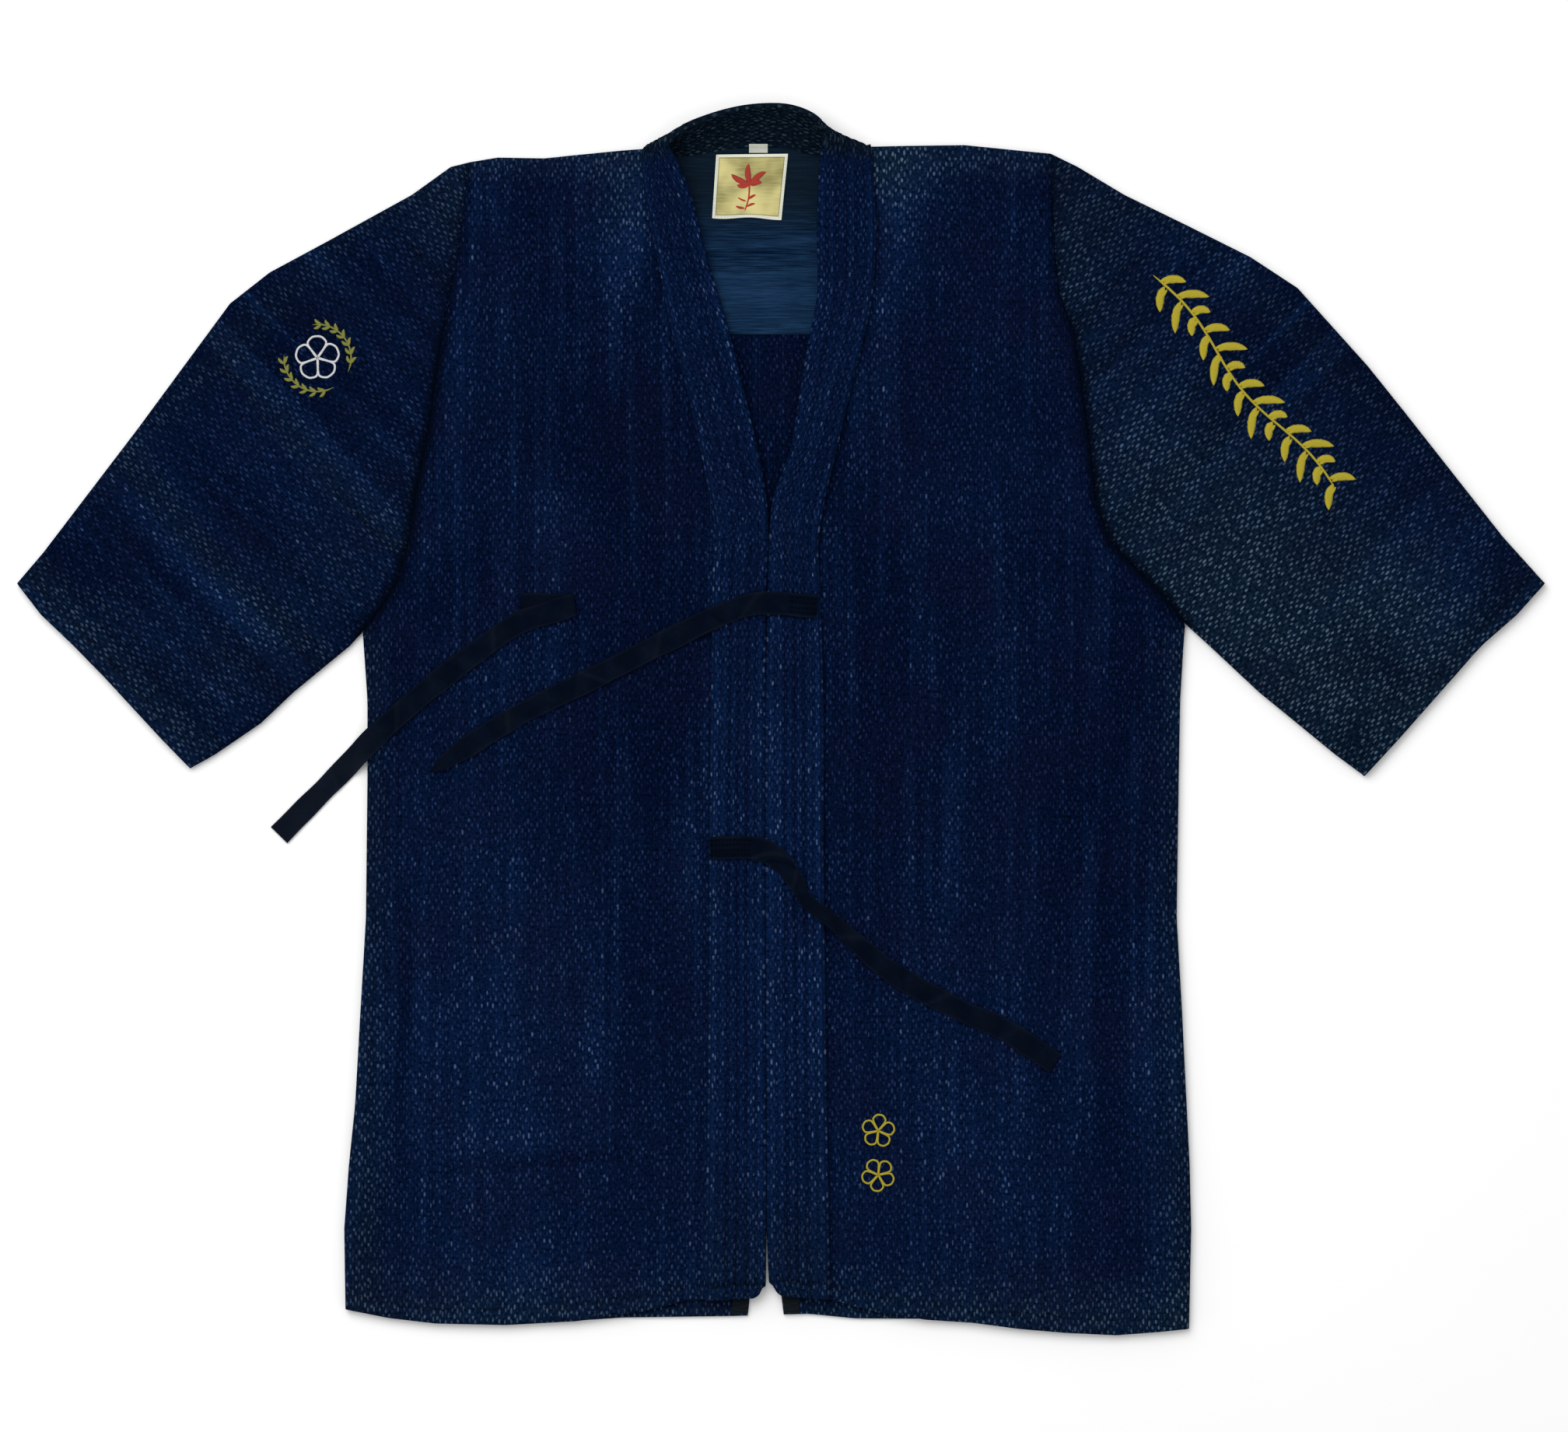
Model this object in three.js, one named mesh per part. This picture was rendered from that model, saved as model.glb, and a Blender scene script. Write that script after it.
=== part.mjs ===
import * as THREE from 'three';

// A short-sleeved cotton jacket laid on its back. Millimetres, +Z up, +Y towards the collar;
// the wearer's right is at -X. The surface it lies on is z = 0.
const wall = 2.6;
const laidHeight = 8;
const foldRadius = laidHeight / 2;
const innerRadius = foldRadius - wall;
const seamHalf = 0.2;
const layGap = 0.3;
const hemDepth = 11;
const hemExtra = 0.8;
const hemStep = 1.5;
const underarmStep = 7;

// The seam at each armhole lies in a shallow valley.
const armholeDip = 1.5;
const armholeReach = 9;

// Collar band, folded and quilted along its length.
const bandWidth = 42;
const bandThickness = 5;
const bandTuck = 8;
const bandSlack = 2.5;
const ribCount = 6;
const ribHeight = 0.8;
const rollShare = 0.6;

const liningThickness = 1;
const labelThickness = 0.8;
const tabThickness = 0.6;
const tapeThickness = 0.8;
const ventTapeWidth = 11;
const tieThickness = 1.8;
const tieWidth = 16;
const tieDropHalf = 7;
const restSlack = 0.05;

function table(columns, ...rows) {
  return rows.map((row) => Object.fromEntries(columns.map((name, i) => [name, row[i]])));
}

// Side seams from the hem to just under the arm.
const sideRows = table(['y', 'right', 'left'],
  [-436, -311.1, 291.7],
  [-363, -312.2, 293.3],
  [-318, -308.9, 292.2],
  [-274, -304.4, 290.0],
  [-207, -300.6, 286.7],
  [-141, -296.7, 282.9],
  [-41, -295.6, 284.4],
  [15, -295.6, 285.4],
  [54, -298.3, 287.8]);

// Armhole seams from the underarm to the shoulder point.
const armholeRows = table(['rightX', 'rightY', 'leftX', 'leftY'],
  [-298.9, 63.6, 288.9, 69.2],
  [-284.4, 82.5, 273.9, 89.2],
  [-273.9, 100.3, 252.8, 110.3],
  [-266.7, 126.4, 235.0, 128.1],
  [-260.6, 164.7, 225.6, 155.3],
  [-251.7, 208.6, 221.1, 194.2],
  [-246.1, 250.3, 215.0, 239.7],
  [-238.9, 291.4, 209.4, 275.8],
  [-231.1, 332.5, 198.9, 305.8],
  [-226.1, 370.8, 195.4, 340.0],
  [-222.2, 399.2, 192.8, 405.3]);

// Folded top edge of each sleeve, shoulder point to cuff.
const sleeveTopRows = table(['rightX', 'rightY', 'leftX', 'leftY'],
  [-222.2, 399.2, 192.8, 405.3],
  [-236.1, 395.8, 212.2, 395.8],
  [-263.9, 375.8, 245.6, 375.8],
  [-324.4, 342.5, 291.1, 353.6],
  [-365.6, 320.3, 335.6, 331.4],
  [-393.9, 298.1, 369.4, 309.2],
  [-426.7, 253.6, 419.4, 253.6],
  [-459.4, 209.2, 446.1, 220.3],
  [-527.2, 120.3, 516.1, 131.4],
  [-546.1, 98.1, 546.1, 98.1]);

// Lower edge of each sleeve, underarm to cuff.
const sleeveLowRows = table(['rightX', 'rightY', 'leftX', 'leftY'],
  [-298.9, 63.6, 288.9, 69.2],
  [-307.8, 53.6, 306.1, 53.6],
  [-348.3, 20.3, 341.7, 20.3],
  [-371.7, -1.9, 368.9, -1.9],
  [-404.4, -24.2, 396.1, -24.2],
  [-422.2, -34.2, 417.2, -39.7]);

// Cuff edge of each sleeve, lower corner to top corner.
const cuffRows = table(['rightX', 'rightY', 'leftX', 'leftY'],
  [-422.2, -34.2, 417.2, -39.7],
  [-442.8, -13.1, 441.7, -13.1],
  [-483.9, 31.4, 481.1, 31.4],
  [-505.6, 53.6, 500.6, 53.6],
  [-528.9, 75.8, 526.1, 75.8],
  [-546.1, 98.1, 546.1, 98.1]);

const shoulderRows = table(['x', 'y'],
  [-222.2, 399.2], [-202.2, 402.5], [-168.9, 401.9], [-146.7, 404.2], [-113.3, 407.5], [-100, 408.5],
  [-91, 409.2], [53.3, 411.9], [64.4, 410.3], [86.7, 410.8], [131.1, 411.4], [153.3, 409.2],
  [175.6, 406.9], [192.8, 405.3]);

// Back neck between the two shoulder necks, where the band is sewn on.
const neckRightX = -100;
const neckLeftX = 66;
const neckRows = table(['x', 'y'],
  [-100, 408.5], [-92, 406], [-80, 401.5], [-72, 399.8], [-55, 402], [-40, 405], [-18, 407.2],
  [5, 406.5], [20, 402], [32, 400.5], [44, 402], [54, 406], [66, 410.3]);

const backHemRows = table(['x', 'y'],
  [-311.1, -420.8], [-280, -426.9], [-246.7, -430.8], [-196.7, -431.9], [-146.7, -429.2],
  [-113.3, -426.9], [-36.1, -425.8], [2.2, -424.7], [20, -424.2], [53.3, -427.5], [103.3, -427.8],
  [136.7, -430.3], [170, -434.7], [203.3, -437.5], [239.4, -439.2], [270, -436.9], [291.7, -434.7]);

const frontHemRows = table(['x', 'y'],
  [-311.1, -420.8], [-280, -426.9], [-246.7, -430.8], [-196.7, -431.9], [-146.7, -429.2],
  [-119.4, -425.3], [-97.8, -421.9], [-69.4, -414.7], [-54.4, -413.6], [32.8, -413.1], [50, -418.1],
  [67.2, -422.5], [103.3, -428.1], [136.7, -430.3], [170, -434.7], [203.3, -437.5],
  [239.4, -439.2], [270, -436.9], [291.7, -434.7]);

// Centre back seam with its vent, which spreads open at the hem.
const centreRows = table(['y', 'right', 'left'],
  [-427, -23.9, 2.2],
  [-318, -11.2, -10.8],
  [410, -18.2, -17.8]);

// Collar band: its sewn edge and its free edge, from the right hem round the neck to the left
// hem. Heights are of the middle of its thickness.
const bandRows = table(['seamX', 'seamY', 'seamZ', 'freeX', 'freeY', 'freeZ'],
  [-54.4, -414.2, 10.9, -10.9, -412.4, 7.6],
  [-54.4, -400.3, 10.9, -10.7, -398.0, 7.5],
  [-52.2, -263.1, 10.9, -11.1, -263.1, 7.3],
  [-51.1, -81.4, 10.9, -11.9, -81.4, 7.3],
  [-50.0, 14.7, 10.9, -11.7, 14.7, 7.3],
  [-48.9, 103.6, 10.9, -10.3, 103.6, 7.3],
  [-47.2, 131.4, 10.9, -8.9, 137.0, 7.3],
  [-51.1, 159.2, 10.9, -10.0, 159.2, 7.5],
  [-58.9, 198.1, 10.9, -17.2, 196.9, 8.0],
  [-68.9, 242.5, 10.9, -27.8, 242.5, 8.5],
  [-78.9, 281.4, 10.9, -37.8, 281.4, 8.5],
  [-91.1, 342.5, 10.9, -56.1, 343.6, 9.5],
  [-96.7, 370.3, 10.9, -62.8, 371.9, 12.0],
  [-98.9, 389.7, 11.0, -70.0, 391.4, 17.0],
  [-99.4, 401.9, 11.2, -76.7, 404.2, 22.0],
  [-98.6, 408.8, 10.6, -80.2, 410.4, 25.0],
  [-95.2, 413.0, 7.2, -80.4, 413.6, 26.5],
  [-86.0, 410.0, 4.2, -76.7, 417.0, 27.0],
  [-73.0, 404.2, 3.3, -68.9, 422.5, 27.0],
  [-56.0, 404.6, 2.9, -55.0, 429.2, 25.0],
  [-38.0, 407.6, 2.7, -36.7, 435.3, 23.0],
  [-18.0, 409.4, 2.7, -18.3, 438.6, 22.0],
  [4.0, 408.8, 2.7, 3.9, 438.6, 22.0],
  [20.0, 404.6, 2.9, 19.5, 433.5, 24.0],
  [34.0, 404.2, 3.3, 27.5, 427.0, 26.0],
  [50.0, 409.6, 4.2, 30.8, 421.8, 26.0],
  [61.5, 414.4, 7.2, 30.8, 417.2, 24.0],
  [65.0, 410.4, 10.8, 29.3, 411.6, 22.0],
  [65.2, 402.0, 11.2, 28.0, 404.0, 18.0],
  [66.5, 385.0, 10.9, 26.6, 386.0, 14.0],
  [68.3, 348.0, 10.9, 25.6, 352.0, 10.5],
  [65.6, 303.6, 10.9, 25.8, 304.7, 8.5],
  [58.9, 270.3, 10.9, 18.9, 268.1, 8.5],
  [48.9, 230.8, 10.9, 12.2, 225.8, 8.2],
  [40.0, 192.5, 10.9, 6.1, 190.8, 8.0],
  [32.2, 159.2, 10.9, -5.6, 159.2, 7.5],
  [27.2, 128.6, 10.9, -7.8, 137.0, 7.3],
  [28.3, 92.5, 10.9, -8.9, 103.6, 7.3],
  [30.6, 14.7, 10.9, -10.6, 14.7, 7.3],
  [30.6, -81.4, 10.9, -10.8, -81.4, 7.3],
  [32.8, -263.1, 10.9, -10.0, -263.1, 7.3],
  [35.0, -401.9, 10.9, -8.8, -398.0, 7.5],
  [35.0, -413.6, 10.9, -7.2, -410.6, 7.6]);

// Soft ridges and troughs of the laid cloth: a line on the upper face, its half width and height.
const softFolds = table(['x0', 'y0', 'x1', 'y1', 'reach', 'height'],
  [-282, 88, -196, 186, 15, 1.3],
  [-276, 120, -214, 250, 18, 0.8],
  [262, 98, 172, 190, 15, 1.2],
  [236, 142, 196, 262, 18, 0.8],
  [-205, -360, -190, 40, 42, 0.9],
  [150, -350, 168, 60, 46, 1.0],
  [-120, -300, -112, -60, 24, -0.4],
  [232, -380, 222, -120, 26, -0.4],
  [-168, 306, -104, 282, 12, -0.5],
  [-330, 90, -470, 60, 30, 0.9],
  [-300, 200, -420, 200, 34, 0.8],
  [318, 96, 470, 84, 30, 0.9],
  [290, 210, 410, 190, 34, 0.8]);

// Ties: the middle of each strap over the panels, sewn end first.
const chestTieEnd = table(['x', 'y'], [-186.0, 83.2], [-149.0, 82.4]);
const chestTieLine = table(['x', 'y'],
  [-149.4, 80.2], [-168.0, 76.4], [-186.1, 70.3], [-223.9, 45.3], [-261.7, 16.4], [-293.9, -7.5],
  [-320.6, -35.3], [-347.8, -63.1], [-359.4, -81.9]);
const upperTieLine = table(['x', 'y'],
  [25.8, 81.4], [-16.7, 83.6], [-37.8, 77.5], [-56.7, 69.2], [-83.9, 55.8], [-118.9, 38.1],
  [-145.6, 24.7], [-186.1, 4.7], [-223.9, -18.6], [-248.9, -35.8]);
const lowerTieLine = table(['x', 'y'],
  [-50.6, -90.8], [-15.6, -91.4], [-2.2, -98.6], [8.9, -112.0], [18.0, -128.0], [31.1, -138.6],
  [50.6, -155.3], [72.8, -175.3], [101.7, -193.1], [133.9, -209.2], [158.9, -220.3], [196.0, -244.7]);

const labelCorners = { left: -46.3, right: 5.2, low: 358.4, high: 403.8 };
const tabCorners = { left: -22.8, right: -9.4 };
const liningEdges = { left: -178, right: 148, low: 276 };

// Piecewise straight value of one column over another.
function valueAt(rows, key, column, at) {
  const order = rows[0][key] < rows[rows.length - 1][key] ? rows : [...rows].reverse();
  let k = 0;
  while (k < order.length - 2 && order[k + 1][key] < at) k += 1;
  const share = (at - order[k][key]) / (order[k + 1][key] - order[k][key]);
  return THREE.MathUtils.lerp(order[k][column], order[k + 1][column], THREE.MathUtils.clamp(share, 0, 1));
}

function pointsOf(rows, side) {
  return rows.map((row) => new THREE.Vector2(row[`${side}X`], row[`${side}Y`]));
}

// Point at a distance along a chain of straight pieces.
function alongChain(points, distance) {
  let left = distance;
  for (let k = 0; k < points.length - 1; k += 1) {
    const span = points[k].distanceTo(points[k + 1]);
    if (left <= span || k === points.length - 2) {
      return points[k].clone().lerp(points[k + 1], Math.min(left / span, 1));
    }
    left -= span;
  }
  return points[points.length - 1].clone();
}

function chainLength(points) {
  return points.slice(1).reduce((sum, point, k) => sum + point.distanceTo(points[k]), 0);
}

function distanceToSegment(x, y, x0, y0, x1, y1) {
  const spanX = x1 - x0;
  const spanY = y1 - y0;
  const share = ((x - x0) * spanX + (y - y0) * spanY) / (spanX * spanX + spanY * spanY);
  const held = THREE.MathUtils.clamp(share, 0, 1);
  return Math.hypot(x - x0 - held * spanX, y - y0 - held * spanY);
}

const armholes = { right: pointsOf(armholeRows, 'right'), left: pointsOf(armholeRows, 'left') };

// Height of the upper cloth above its even level: soft folds, and the valleys at the armholes.
function relief(x, y) {
  let height = 0;
  for (const fold of softFolds) {
    const away = distanceToSegment(x, y, fold.x0, fold.y0, fold.x1, fold.y1) / fold.reach;
    height += fold.height * Math.exp(-away * away);
  }
  const seam = armholes[x < 0 ? 'right' : 'left'];
  let nearest = Infinity;
  for (let k = 0; k < seam.length - 1; k += 1) {
    nearest = Math.min(nearest, distanceToSegment(x, y, seam[k].x, seam[k].y, seam[k + 1].x, seam[k + 1].y));
  }
  const valley = nearest / armholeReach;
  return height - armholeDip * Math.exp(-valley * valley);
}

// Armhole seam moved to one side of the stitch line, for the piece that ends there.
function armholeEdge(side, shift) {
  const seam = armholes[side];
  return seam.map((point, k) => {
    const ahead = seam[Math.min(k + 1, seam.length - 1)];
    const behind = seam[Math.max(k - 1, 0)];
    const run = ahead.clone().sub(behind).normalize();
    const outward = side === 'right' ? new THREE.Vector2(-run.y, run.x) : new THREE.Vector2(run.y, -run.x);
    return point.clone().addScaledVector(outward, shift);
  });
}

// Closed wall between two matching grids of points. Its faces are turned to point out.
function wallSolid(outside, inside, joined = false) {
  const rows = outside.length;
  const cols = outside[0].length;
  const lastCol = joined ? cols : cols - 1;
  const at = (layer, r, c) => layer * rows * cols + r * cols + (c % cols);
  const index = [];
  const quad = (a, b, c, d) => index.push(a, b, c, a, c, d);
  for (let r = 0; r < rows - 1; r += 1) {
    for (let c = 0; c < lastCol; c += 1) {
      quad(at(0, r, c), at(0, r, c + 1), at(0, r + 1, c + 1), at(0, r + 1, c));
      quad(at(1, r, c), at(1, r + 1, c), at(1, r + 1, c + 1), at(1, r, c + 1));
    }
    if (!joined) {
      quad(at(0, r, 0), at(0, r + 1, 0), at(1, r + 1, 0), at(1, r, 0));
      quad(at(0, r, cols - 1), at(1, r, cols - 1), at(1, r + 1, cols - 1), at(0, r + 1, cols - 1));
    }
  }
  for (let c = 0; c < lastCol; c += 1) {
    quad(at(0, 0, c), at(1, 0, c), at(1, 0, c + 1), at(0, 0, c + 1));
    quad(at(0, rows - 1, c), at(0, rows - 1, c + 1), at(1, rows - 1, c + 1), at(1, rows - 1, c));
  }
  return solidFrom([...outside.flat(), ...inside.flat()], index);
}

function solidFrom(points, index) {
  let volume = 0;
  for (let k = 0; k < index.length; k += 3) {
    const [a, b, c] = [points[index[k]], points[index[k + 1]], points[index[k + 2]]];
    volume += a.dot(b.clone().cross(c));
  }
  const faces = volume > 0 ? index : index.map((_, k) => index[k - (k % 3) + 2 - (k % 3)]);
  const geometry = new THREE.BufferGeometry();
  const place = points.flatMap((point) => [point.x, point.y, point.z]);
  geometry.setAttribute('position', new THREE.Float32BufferAttribute(place, 3));
  geometry.setIndex(faces);
  geometry.computeVertexNormals();
  return geometry;
}

const curlAngles = [30, 60, 87.8].map(THREE.MathUtils.degToRad);
const lastCurl = Math.sin(curlAngles[curlAngles.length - 1]);
const flatCols = 9;

// Row marks up one body panel: its outer edge and how far the side is folded over there.
function panelRows(side, hemRows) {
  const hemEnd = side === 'right' ? hemRows[0] : hemRows[hemRows.length - 1];
  const underarm = armholes[side][0];
  const sideAt = (y) => ({ edge: new THREE.Vector2(valueAt(sideRows, 'y', side, y), y), curl: 1 });
  const rows = [0, hemDepth, hemDepth + hemStep].map((up) => sideAt(hemEnd.y + up));
  for (const { y } of sideRows.slice(1, -1)) rows.push(sideAt(y));
  rows.push(sideAt(underarm.y - underarmStep));
  armholeEdge(side, -seamHalf).forEach((edge, k) => rows.push({ edge, curl: k === 0 ? 1 : 0 }));
  const top = rows.pop();
  const before = rows[rows.length - 1];
  const share = (top.edge.y - foldRadius - before.edge.y) / (top.edge.y - before.edge.y);
  const flatEnd = before.edge.clone().lerp(top.edge, share);
  rows.push({ edge: flatEnd, curl: 0, lean: (top.edge.x - flatEnd.x) / foldRadius });
  return rows;
}

// One quarter of the body. Across it runs from the centre to the side, up it from hem to
// shoulder; the last columns and rows turn over the side and the shoulder in a quarter round.
function bodyPanel(side, layer) {
  const outward = side === 'right' ? -1 : 1;
  const isBack = layer === 'back';
  const hemRows = isBack ? backHemRows : frontHemRows;
  const marks = panelRows(side, hemRows);
  const last = marks.length - 1;
  const topOf = (x) => {
    const overNeck = isBack && x > neckRightX && x < neckLeftX;
    return valueAt(overNeck ? neckRows : shoulderRows, 'x', 'y', x) - foldRadius;
  };
  const shoulderCurl = (x) => (isBack && x > neckRightX + 1 && x < neckLeftX - 1 ? 0 : 1);
  const centreX = (y) => (isBack ? valueAt(centreRows, 'y', side, y) : frontInner(side, y));
  const low = new THREE.Vector2(centreX(-415), 0);
  low.y = valueAt(hemRows, 'x', 'y', low.x);
  const high = new THREE.Vector2(centreX(402), 0);
  high.y = topOf(high.x);
  const outer = marks.map((mark) => new THREE.Vector2(mark.edge.x - outward * foldRadius, mark.edge.y));
  const up = marks.map((mark) => (mark.edge.y - outer[0].y) / (outer[last].y - outer[0].y));
  const inner = up.map((t) => {
    const y = THREE.MathUtils.lerp(low.y, high.y, t);
    return new THREE.Vector2(centreX(y), y);
  });
  const across = Array.from({ length: flatCols }, (_, i) => i / (flatCols - 1));
  const hem = across.map((s) => {
    const x = THREE.MathUtils.lerp(inner[0].x, outer[0].x, s);
    return new THREE.Vector2(x, valueAt(hemRows, 'x', 'y', x));
  });
  const head = across.map((s) => {
    const x = THREE.MathUtils.lerp(inner[last].x, outer[last].x, s);
    return new THREE.Vector2(x, topOf(x));
  });
  const patch = (i, j) => coons(hem[i], head[i], inner[j], outer[j], across[i], up[j],
    inner[0], outer[0], inner[last], outer[last]);

  const outside = [];
  const inside = [];
  const addRow = (j, turn) => {
    const faceRow = [];
    const backRow = [];
    const extra = j < 2 ? hemExtra : 0;
    for (let i = 0; i < flatCols + curlAngles.length; i += 1) {
      const flat = patch(Math.min(i, flatCols - 1), j);
      const roll = i < flatCols ? 0 : curlAngles[i - flatCols];
      const curl = roll ? marks[j].curl : 0;
      const rise = turn ? shoulderCurl(flat.x) : 0;
      const inRadius = innerRadius - extra;
      const evenSide = (foldRadius * Math.sin(roll)) / lastCurl;
      const evenTop = (foldRadius * Math.sin(turn)) / lastCurl;
      const lerp = THREE.MathUtils.lerp;
      const outX = lerp(evenSide, foldRadius * Math.sin(roll), curl);
      const inX = lerp(evenSide, inRadius * Math.sin(roll), curl);
      const outY = lerp(evenTop, foldRadius * Math.sin(turn), rise);
      const inY = lerp(evenTop, inRadius * Math.sin(turn), rise);
      const outZ = curl * foldRadius * (1 - Math.cos(roll)) + rise * foldRadius * (1 - Math.cos(turn));
      const even = wall + extra;
      const inZ = even + curl * (foldRadius - inRadius * Math.cos(roll) - even)
        + rise * (foldRadius - inRadius * Math.cos(turn) - even);
      const lift = isBack ? 0 : relief(flat.x, flat.y) * (1 - outZ / foldRadius);
      const level = (z) => (isBack ? z : laidHeight - z + lift);
      const lean = turn ? marks[last].lean * across[Math.min(i, flatCols - 1)] : 0;
      faceRow.push(new THREE.Vector3(flat.x + outward * outX + lean * outY, flat.y + outY, level(outZ)));
      backRow.push(new THREE.Vector3(flat.x + outward * inX + lean * inY, flat.y + inY, level(inZ)));
    }
    outside.push(faceRow);
    inside.push(backRow);
  };
  marks.forEach((_, j) => addRow(j, 0));
  for (const turn of curlAngles) addRow(last, turn);
  return wallSolid(outside, inside);
}

// Surface between four edges: each pair of edges is blended and their common corners taken off.
function coons(low, high, start, end, s, t, c00, c10, c01, c11) {
  const point = low.clone().multiplyScalar(1 - t).addScaledVector(high, t);
  point.addScaledVector(start, 1 - s).addScaledVector(end, s);
  point.addScaledVector(c00, -(1 - s) * (1 - t)).addScaledVector(c10, -s * (1 - t));
  return point.addScaledVector(c01, -(1 - s) * t).addScaledVector(c11, -s * t);
}

// Inner edge of a front panel: under the band by the tuck, running out at the shoulder.
function frontInner(side, y) {
  const seamRows = side === 'right' ? bandRows.slice(0, 15) : bandRows.slice(28);
  const x = valueAt(seamRows, 'seamY', 'seamX', y);
  const tuck = bandTuck * THREE.MathUtils.clamp((388 - y) / 30, 0.15, 1);
  return x + (side === 'right' ? tuck : -tuck);
}

const ringTurns = [30, 60, 90, 120, 150].map(THREE.MathUtils.degToRad);
const sleeveSteps = 11;

// One sleeve as a flattened tube, ring by ring from the armhole to the cuff.
function sleeve(side) {
  const root = armholeEdge(side, seamHalf);
  const top = pointsOf(sleeveTopRows, side);
  const low = pointsOf(sleeveLowRows, side);
  const cuff = pointsOf(cuffRows, side);
  top[0].copy(root[root.length - 1]);
  low[0].copy(root[0]);
  const topLength = chainLength(top);
  const lowLength = chainLength(low);
  const cuffLength = chainLength(cuff);
  const marks = Array.from({ length: sleeveSteps }, (_, j) => j / (sleeveSteps - 1));
  const topRun = marks.map((t) => t * (topLength - hemDepth - hemStep));
  const lowRun = marks.map((t) => t * (lowLength - hemDepth - hemStep));
  topRun.push(topLength - hemDepth, topLength);
  lowRun.push(lowLength - hemDepth, lowLength);
  const last = topRun.length - 1;

  // Inward direction of the cloth at each folded edge.
  const inward = (points, run, total, rootDirection, turnSign) => run.map((distance) => {
    const ahead = alongChain(points, Math.min(distance + 4, total));
    const behind = alongChain(points, Math.max(distance - 4, 0));
    const along = ahead.sub(behind).normalize();
    const square = new THREE.Vector2(-along.y * turnSign, along.x * turnSign);
    const share = THREE.MathUtils.smoothstep(distance, 0, 40);
    return rootDirection.clone().multiplyScalar(1 - share).addScaledVector(square, share).normalize();
  });
  const turnSign = side === 'right' ? 1 : -1;
  const rootUp = root[1].clone().sub(root[0]).normalize();
  const rootDown = root[root.length - 2].clone().sub(root[root.length - 1]).normalize();
  const topIn = inward(top, topRun, topLength, rootDown, turnSign);
  const lowIn = inward(low, lowRun, lowLength, rootUp, -turnSign);
  const cuffUp = cuff[1].clone().sub(cuff[0]).normalize();
  const cuffDown = cuff[cuff.length - 2].clone().sub(cuff[cuff.length - 1]).normalize();
  topIn[last] = cuffDown;
  lowIn[last] = cuffUp;
  const topEdge = topRun.map((distance) => alongChain(top, distance));
  const lowEdge = lowRun.map((distance) => alongChain(low, distance));
  const topFlat = topEdge.map((edge, j) => edge.clone().addScaledVector(topIn[j], foldRadius));
  const lowFlat = lowEdge.map((edge, j) => edge.clone().addScaledVector(lowIn[j], foldRadius));

  const rootFlat = [lowFlat[0], ...root.slice(1, -1), topFlat[0]];
  const rootLength = chainLength(rootFlat);
  let run = 0;
  const across = rootFlat.map((point, i) => {
    run += i ? point.distanceTo(rootFlat[i - 1]) : 0;
    return run / rootLength;
  });
  const cuffFlat = across.map((s) => alongChain(cuff, foldRadius + s * (cuffLength - 2 * foldRadius)));
  const patch = (i, j) => {
    const t = topRun[j] / topLength;
    return coons(rootFlat[i], cuffFlat[i], lowFlat[j], topFlat[j], across[i], t,
      rootFlat[0], rootFlat[rootFlat.length - 1], cuffFlat[0], cuffFlat[cuffFlat.length - 1]);
  };
  const ring = (j, radius, extra) => {
    const points = [];
    const place = (flat, z, upper) => {
      const lift = upper > 0 ? relief(flat.x, flat.y) * upper : 0;
      points.push(new THREE.Vector3(flat.x, flat.y, z + lift));
    };
    const half = radius - extra;
    rootFlat.forEach((_, i) => place(patch(i, j), foldRadius + half, 1));
    for (const turn of ringTurns) {
      const flat = topFlat[j].clone().addScaledVector(topIn[j], -half * Math.sin(turn));
      place(flat, foldRadius + half * Math.cos(turn), Math.cos(turn));
    }
    [...rootFlat.keys()].reverse().forEach((i) => place(patch(i, j), foldRadius - half, 0));
    for (const turn of ringTurns) {
      const flat = lowFlat[j].clone().addScaledVector(lowIn[j], -half * Math.sin(turn));
      place(flat, foldRadius - half * Math.cos(turn), -Math.cos(turn));
    }
    return points;
  };
  const outside = topRun.map((_, j) => ring(j, foldRadius, 0));
  const inside = topRun.map((_, j) => ring(j, innerRadius, j >= last - 1 ? hemExtra : 0));
  return wallSolid(outside, inside, true);
}

const bandStations = 84;
const bandInnerCols = 4;

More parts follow.
